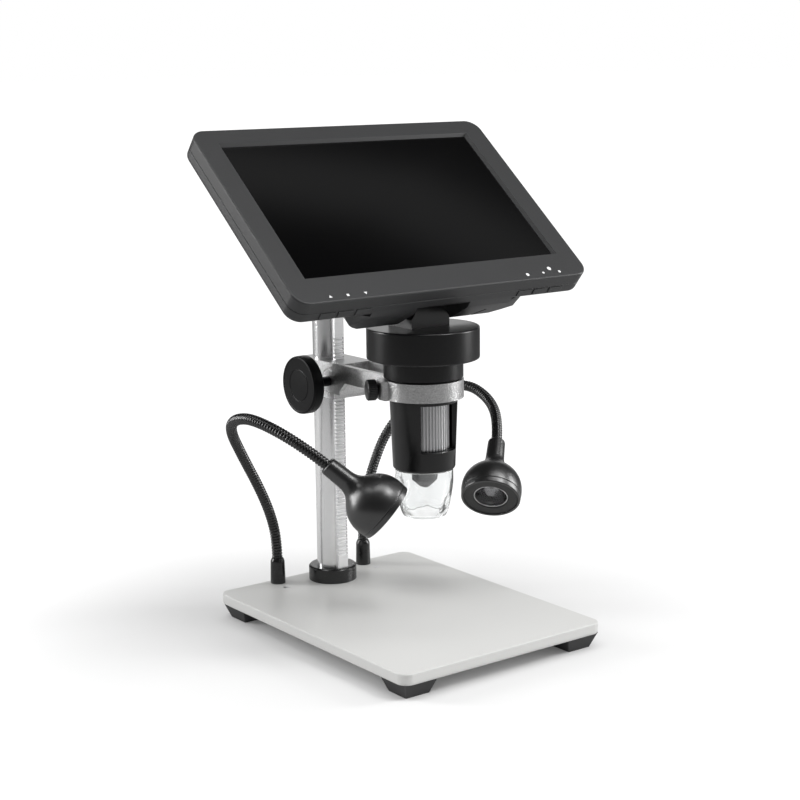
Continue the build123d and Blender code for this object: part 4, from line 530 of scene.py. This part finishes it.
# Ring light: a white board under the guide with eight surface lamps, each a
# small round block with a dished face of yellow phosphor.
RING_LIGHT_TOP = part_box("ring_light")[1].z
RING_BOARD = 0.0012
RING_BOARD_RADII = (0.0092, 0.0139)
RING_BOARD_STEPS = 96
RING_LAMP_CIRCLE = 0.0114
RING_LAMP_RADIUS = 0.0012
RING_LAMP_HEIGHT = 0.0010
RING_LAMP_BEVEL = 0.0002
RING_LAMP_DISH = 0.0001
RING_LAMP_FACE = 0.85
RING_LAMP_STEPS = 24
RING_LAMPS = 8

white_board = board_finish("white_board", (0.78, 0.78, 0.75), (0.62, 0.62, 0.58))
phosphor = finish("phosphor", (0.82, 0.70, 0.22), 0.4, spread=0.1, grain=800)
ring_low = RING_LIGHT_TOP - RING_BOARD
ring_inner, ring_outer = RING_BOARD_RADII
board_mesh = tube_mesh("ring_light_board", [
    circle(r, z, RING_BOARD_STEPS) for r, z in (
        (ring_inner, ring_low), (ring_outer, ring_low),
        (ring_outer, RING_LIGHT_TOP), (ring_inner, RING_LIGHT_TOP))], loop=True)
board_mesh.transform(Matrix.Translation(HEAD_AXIS))
add_piece(board_mesh, white_board, "camera_head", "ring_light")
for number in range(RING_LAMPS):
    turn = 2 * pi * number / RING_LAMPS
    low = ring_low - RING_LAMP_HEIGHT
    lamp_mesh = tube_mesh(f"ring_lamp_{number + 1}", [
        circle(r, z, RING_LAMP_STEPS) for r, z in (
            (RING_LAMP_RADIUS, ring_low), (RING_LAMP_RADIUS, low + RING_LAMP_BEVEL),
            (RING_LAMP_RADIUS * RING_LAMP_FACE, low), (0, low + RING_LAMP_DISH))])
    lamp_mesh.transform(Matrix.Translation(
        HEAD_AXIS + Vector((RING_LAMP_CIRCLE * cos(turn), RING_LAMP_CIRCLE * sin(turn), 0))))
    add_piece(lamp_mesh, phosphor, "camera_head", slot="white_board")

# Clear cup: a moulded acrylic skirt plugged into the barrel. Its wall is thick
# and wavy inside, with a heavy rounded lip round the open mouth.
CUP_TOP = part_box("clear_cup")[1].z
CUP_TONGUE = 0.0035
CUP_SKIRT = CUP_TOP - CUP_TONGUE
CUP_WAVE = 0.00022
CUP_STEPS = 144
# lobes round the wall, their turn per metre of height, and their share
CUP_LOBES = ((4, 210.0, 0.9), (7, -330.0, 0.6), (11, 520.0, 0.35))
# radius, height and how wavy
CUP_PROFILE = [
    (0.01385, CUP_TONGUE, 0), (0.01385, 0.0, 0), (0.0148, -0.0001, 0), (0.0149, -0.0005, 0.1),
    (0.0149, -0.0070, 0.2), (0.0147, -0.0095, 0.4), (0.0141, -0.0135, 0.5),
    (0.0132, -0.0181, 0.5), (0.0124, -0.0216, 0.5), (0.0118, -0.0233, 0.4),
    (0.0111, -0.0244, 0.3), (0.0102, -0.0248, 0.2), (0.0095, -0.0245, 0.3),
    (0.0093, -0.0238, 0.5), (0.0098, -0.0228, 0.8), (0.0107, -0.0213, 1.1),
    (0.0116, -0.0187, 1.4), (0.0122, -0.0164, 1.6), (0.0127, -0.0136, 1.5),
    (0.0130, -0.0105, 1.3), (0.0133, -0.0080, 1.2), (0.0134, -0.0045, 1.0),
    (0.0134, -0.0012, 0.6), (0.0133, 0.0, 0), (0.0125, CUP_TONGUE, 0)]


def wavy_circle(radius, height, share):
    """Ring of points about Z whose radius drifts as a moulded wall's does."""
    ring = []
    for i in range(CUP_STEPS):
        turn = 2 * pi * i / CUP_STEPS
        drift = sum(part * sin(lobes * turn + twist * height) for lobes, twist, part in CUP_LOBES)
        r = radius + CUP_WAVE * share * drift
        ring.append((r * cos(turn), r * sin(turn), CUP_SKIRT + height))
    return ring


acrylic = clear("acrylic", (0.95, 0.96, 0.96), 0.05, 1.49, haze=0.05)
cup_mesh = tube_mesh("clear_cup_moulded", [
    wavy_circle(r, z, share) for r, z, share in CUP_PROFILE], loop=True)
cup_mesh.transform(Matrix.Translation(HEAD_AXIS))
add_piece(cup_mesh, acrylic, "camera_head", "clear_cup")

# Camera head: a black moulded bowl with a let-in lid, carrying the hinge
# block that the screen tilts on.
HEAD_EDGE = 0.0002
HINGE_EDGE = 0.0003

dress(barrel_black, "head_housing", "head_lid", edge=HEAD_EDGE)
dress(moulded_black, "hinge_block", edge=HINGE_EDGE)

# Screen: a thin satin case in two halves round a black display, with a low
# pyramid behind it for the battery. The skin is finely spark-eroded.
SCREEN_COLOUR = (0.022, 0.0223, 0.0232)
CASE_EDGE = 0.00025
HOUSING_EDGE = 0.0003
BRACKET_EDGE = 0.0002
BATTERY_EDGE = 0.0006

case_plastic = finish("case_plastic", SCREEN_COLOUR, 0.46, spread=0.06, grain=2200,
                      bump=0.22, uneven=0.04, worn=0.06)
dress(case_plastic, "front_bezel", "rear_shell", edge=CASE_EDGE)
dress(case_plastic, "rear_housing", *[f"button_{number}" for number in range(1, 7)],
      edge=HOUSING_EDGE)
painted_steel = finish("painted_steel", (0.012, 0.012, 0.0125), 0.45, grain=900, bump=0.1)
dress(painted_steel, "tilt_bracket", edge=BRACKET_EDGE)
foil = finish("battery_foil", (0.50, 0.51, 0.53), 0.35, metallic=1, spread=0.1, grain=300)
dress(foil, "battery", edge=BATTERY_EDGE)

display_black = finish("display_black", (0.0002, 0.0002, 0.0003), 0.15, spread=0.05,
                       grain=60, bump=0.0, uneven=0.01, shine=1.3)
dress(display_black, "lcd_panel", edge=0)

# Marks over the buttons: small plain shapes printed in white ink, a pair of
# triangles, a square, dots and a ring.
SCREEN_TILT = 39.13
HINGE_BELOW_CENTRE = 0.0454
HINGE_BEHIND_FACE = 0.0212
MARK_HEIGHT = 0.00004
# name, place across and up the screen, corners, radius and turn
MARKS = [
    ("up_arrow", -0.0714, -0.0608, 3, 0.0011, 90), ("square", -0.0614, -0.0608, 4, 0.0010, 45),
    ("down_arrow", -0.0510, -0.0606, 3, 0.0011, 270), ("dot_1", 0.0507, -0.0604, 24, 0.0010, 0),
    ("dot_2", 0.0614, -0.0602, 24, 0.0007, 0), ("ring", 0.0669, -0.0578, 24, 0.0012, 0),
    ("dot_3", 0.0722, -0.0606, 24, 0.0008, 0)]

hinge = Vector(next(joint["pos_m"] for joint in frame["joints"]
                    if joint["name"] == "screen_tilt"))
screen_place = (
    Matrix.Translation(hinge) @ Matrix.Rotation(radians(SCREEN_TILT), 4, "X")
    @ Matrix.Translation((0, HINGE_BELOW_CENTRE, HINGE_BEHIND_FACE)))
white_ink = finish("white_ink", (0.62, 0.62, 0.62), 0.5, grain=900)
for name, u, v, corners, radius, start in MARKS:
    turns = [radians(start) + 2 * pi * i / corners for i in range(corners)]
    mark_mesh = tube_mesh(f"mark_{name}", [
        [(u + radius * cos(t), v + radius * sin(t), height) for t in turns]
        for height in (-MARK_HEIGHT, MARK_HEIGHT)])
    mark_mesh.transform(screen_place)
    add_piece(mark_mesh, white_ink, "screen", slot="screen_plastic")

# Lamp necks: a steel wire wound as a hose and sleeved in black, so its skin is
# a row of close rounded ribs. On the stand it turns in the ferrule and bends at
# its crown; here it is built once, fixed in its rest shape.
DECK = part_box("base_plate")[1].z
NECK_RADIUS = 0.00293
NECK_VALLEY = 0.00050
NECK_RIB = 0.00165
NECK_SIDES = 20
NECK_RIB_STEPS = 4
FERRULE_HEIGHT = 0.0141
FERRULE_SOCKET = 0.0080
FERRULE_RUN = 0.0065
LAMP_SOCKET = 0.0060
NECK_CURVE_STEPS = 24
NECK_CURVE_ORDER = 3
LAMP_SIDES = {
    "left": {
        "foot": (-0.0291, 0.0783), "stem": (-0.06085, -0.0188, 0.10335),
        "aim": (0.616, -0.449, -0.647), "run": 0.014,
        "route": [(-0.0312, 0.0784, 0.0486), (-0.0389, 0.0767, 0.0666),
                  (-0.0537, 0.0735, 0.0919), (-0.0679, 0.0606, 0.1089),
                  (-0.0787, 0.0368, 0.1201), (-0.0805, 0.0138, 0.1234)]},
    "right": {
        "foot": (0.0291, 0.0783), "stem": (0.0643, 0.0008, 0.09385),
        "aim": (-0.560, -0.534, -0.633), "run": 0.013,
        "route": [(0.0300, 0.0776, 0.0477), (0.0375, 0.0806, 0.0677),
                  (0.0494, 0.0809, 0.0899), (0.0655, 0.0705, 0.1102),
                  (0.0791, 0.0465, 0.1184), (0.0802, 0.0257, 0.1119)]},
}


def smooth_line(name, points, step):
    """Evenly spaced points on the smooth curve that a neck follows."""
    curve = bpy.data.curves.new(name, "CURVE")
    curve.dimensions = "3D"
    curve.resolution_u = NECK_CURVE_STEPS
    spline = curve.splines.new("NURBS")
    spline.points.add(len(points) - 1)
    for knot, point in zip(spline.points, points):
        knot.co = (*point, 1)
    spline.order_u = NECK_CURVE_ORDER
    spline.use_endpoint_u = True
    carrier = bpy.data.objects.new(name, curve)
    traced = [v.co.copy() for v in bpy.data.meshes.new_from_object(carrier).vertices]
    bpy.data.objects.remove(carrier)
    lengths = [0.0]
    for a, b in zip(traced, traced[1:]):
        lengths.append(lengths[-1] + (b - a).length)
    count = ceil(lengths[-1] / step)
    even, leg = [], 0
    for i in range(count + 1):
        want = lengths[-1] * i / count
        while leg < len(traced) - 2 and lengths[leg + 1] < want:
            leg += 1
        share = (want - lengths[leg]) / (lengths[leg + 1] - lengths[leg])
        even.append(traced[leg].lerp(traced[leg + 1], share))
    return even


def ribbed_hose(name, line):
    """Hose along a line of points whose radius swells once a rib."""
    rings = []
    across = Vector((1, 0, 0))
    for i, point in enumerate(line):
        ahead = (line[min(i + 1, len(line) - 1)] - line[max(i - 1, 0)]).normalized()
        across = (across - ahead * across.dot(ahead)).normalized()
        beside = ahead.cross(across)
        dip = (0.5 + 0.5 * cos(2 * pi * i / NECK_RIB_STEPS)) ** 2
        swell = NECK_RADIUS - NECK_VALLEY * dip
        rings.append([point + (across * cos(t) + beside * sin(t)) * swell
                      for t in (2 * pi * j / NECK_SIDES for j in range(NECK_SIDES))])
    return tube_mesh(name, rings)


ferrule_top = DECK + FERRULE_HEIGHT
hose_black = finish("hose_black", DEEP_BLACK, 0.27, spread=0.15, grain=900,
                    bump=0.03, shine=1.65)
for side, lamp in LAMP_SIDES.items():
    stem = Vector(lamp["stem"])
    mouth = Vector(lamp["aim"]).normalized()
    route = [Vector((*lamp["foot"], ferrule_top - FERRULE_SOCKET)),
             Vector((*lamp["foot"], ferrule_top + FERRULE_RUN))]
    route += [Vector(point) for point in lamp["route"]]
    route += [stem - mouth * lamp["run"], stem + mouth * LAMP_SOCKET]
    line = smooth_line(f"lamp_{side}_line", route, NECK_RIB / NECK_RIB_STEPS)
    hose_mesh = ribbed_hose(f"lamp_{side}_neck", line)
    hose = bpy.data.objects.new(hose_mesh.name, hose_mesh)
    scene.collection.objects.link(hose)
    hose_mesh.materials.append(hose_black)
    hose_mesh.shade_smooth()
    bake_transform(hose)
    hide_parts(f"lamp_{side}_neck_lower", f"lamp_{side}_neck_upper")

# Lamp heads: a bell-shaped shade turned in aluminium and lacquered black, with
# a fine groove behind its rim. A black face ring, a bright reflector, a small
# lamp chip under a clear dome and a clear cover fill its mouth. The reflector
# is coloured dark all over: painted shade.
STEM_END = (0.00465, 0.0014)
STEM_TOP = (0.0050, 0.0120)
FLARE = (0.0093, 0.0196)
BELLY = (0.0161, 0.0340)
FLARE_SAG = -0.00109
BELLY_SAG = 0.00209
FLARE_STEPS = 6
BELLY_STEPS = 10


def bow(start, end, sag, steps):
    """Points from one (radius, height) point towards another, bowed out by sag."""
    run, rise = end[0] - start[0], end[1] - start[1]
    length = hypot(run, rise)
    points = []
    for i in range(steps):
        share = i / steps
        lift = 4 * share * (1 - share) * sag
        points.append((start[0] + run * share + lift * rise / length,
                       start[1] + rise * share - lift * run / length))
    return points


# radius and distance from the stem's end
SHADE_PROFILE = (
    [(0.0031, 0.0), (0.0033, 0.0), (0.0039, 0.00015), (0.0044, 0.0006), STEM_END]
    + bow(STEM_TOP, FLARE, FLARE_SAG, FLARE_STEPS) + bow(FLARE, BELLY, BELLY_SAG, BELLY_STEPS)
    + [BELLY, (0.01598, 0.03535), (0.0157, 0.0354), (0.0157, 0.0358), (0.01594, 0.03585),
       (0.01575, 0.0381), (0.0155, 0.0386), (0.0146, 0.0386), (0.0144, 0.0384),
       (0.0144, 0.0365), (0.0129, 0.0364), (0.0076, 0.0266), (0.00295, 0.0264),
       (0.00295, 0.0002)])
FACE_PROFILE = [
    (0.0090, 0.0365), (0.0144, 0.0365), (0.0144, 0.0379), (0.0142, 0.0381),
    (0.0096, 0.0380), (0.0091, 0.0375)]
REFLECTOR_PROFILE = [
    (0.0026, 0.0279), (0.0030, 0.0277), (0.0046, 0.0283), (0.0066, 0.0302), (0.0081, 0.0331),
    (0.0089, 0.0364), (0.0084, 0.0364), (0.0076, 0.0333), (0.0062, 0.0306), (0.0043, 0.0287)]
TRIM_RING = [(0.0086, 0.0369), (0.0090, 0.0369), (0.0090, 0.0374), (0.0086, 0.0374)]
LENS_PROFILE = [(0.0, 0.0365), (0.0089, 0.0365), (0.0089, 0.0368), (0.0060, 0.0369),
                (0.0, 0.0370)]
LAMP_BOARD_PROFILE = [(0.0, 0.0266), (0.0073, 0.0266), (0.0073, 0.0275), (0.0, 0.0276)]
CHIP_PROFILE = [(0.0, 0.0276), (0.0012, 0.0276), (0.0012, 0.0281), (0.0, 0.0282)]
DOME_PROFILE = [
    (0.0, 0.0286), (0.0011, 0.0286), (0.0020, 0.0284), (0.0024, 0.0279), (0.0025, 0.0291),
    (0.0023, 0.0301), (0.0017, 0.0309), (0.0009, 0.0313), (0.0, 0.0314)]
REFLECTOR_FACETS = 24
TURNED_STEPS = 96
COVER_STEPS = 72
SMALL_STEPS = 48
CHIP_STEPS = 24
LAMP_EDGE = 0.00012

lacquer = finish("lamp_lacquer", (0.004, 0.004, 0.0043), 0.34, spread=0.15, grain=500,
                 bump=0.03, shine=1.85, worn=0.1)
face_black = finish("lamp_face_black", (0.010, 0.010, 0.0105), 0.42, spread=0.15, grain=1300,
                    bump=0.12)
# The reflector's mirror is coloured far darker than bright chrome: painted shade, for the dark it
# shows deep in the bell.
mirror_with_painted_shade = finish("mirror_with_painted_shade", (0.16, 0.16, 0.164), 0.05, metallic=1, spread=0.03,
                     grain=200, bump=0.03, uneven=0.02)
bright_trim = finish("bright_trim", (0.86, 0.86, 0.87), 0.14, metallic=1, spread=0.03,
                     grain=200, bump=0.03, uneven=0.02)
cover_clear = clear("lamp_cover", (0.98, 0.98, 0.98), 0.02, 1.12)
dome_clear = clear("lamp_dome", (0.96, 0.97, 0.98), 0.02, 1.45)
for side, lamp in LAMP_SIDES.items():
    head = f"lamp_{side}_head"
    mouth = Vector(lamp["aim"]).normalized()
    pose = (Matrix.Translation(lamp["stem"])
            @ mouth.to_track_quat("Z", "Y").to_matrix().to_4x4())
    for piece, profile, steps, material, node, loop, slot in (
            ("bell", SHADE_PROFILE, TURNED_STEPS, lacquer, "shade", True, None),
            ("face_ring", FACE_PROFILE, TURNED_STEPS, face_black, "bezel", True, None),
            ("mirror", REFLECTOR_PROFILE, REFLECTOR_FACETS, mirror_with_painted_shade, "reflector", True, None),
            ("trim_ring", TRIM_RING, TURNED_STEPS, bright_trim, None, True, "reflector_chrome"),
            ("board", LAMP_BOARD_PROFILE, SMALL_STEPS, moulded_black, "led", False, None),
            ("chip", CHIP_PROFILE, CHIP_STEPS, phosphor, None, False, "led_white"),
            ("dome", DOME_PROFILE, SMALL_STEPS, dome_clear, None, False, "clear_lens"),
            ("cover", LENS_PROFILE, COVER_STEPS, cover_clear, "lens", False, None)):
        mesh = tube_mesh(f"lamp_{side}_{piece}", [circle(r, z, steps) for r, z in profile],
                         loop)
        mesh.transform(pose)
        stood_for = [f"lamp_{side}_{node}"] if node else []
        add_piece(mesh, material, head, *stood_for, slot=slot,
                  edge=0.0 if piece == "mirror" else LAMP_EDGE)

# Cap: a black plug pressed into the top of the hollow column once the carriage
# has been slid on.
CAP_EDGE = 0.0002

dress(moulded_black, "column_cap", edge=CAP_EDGE)
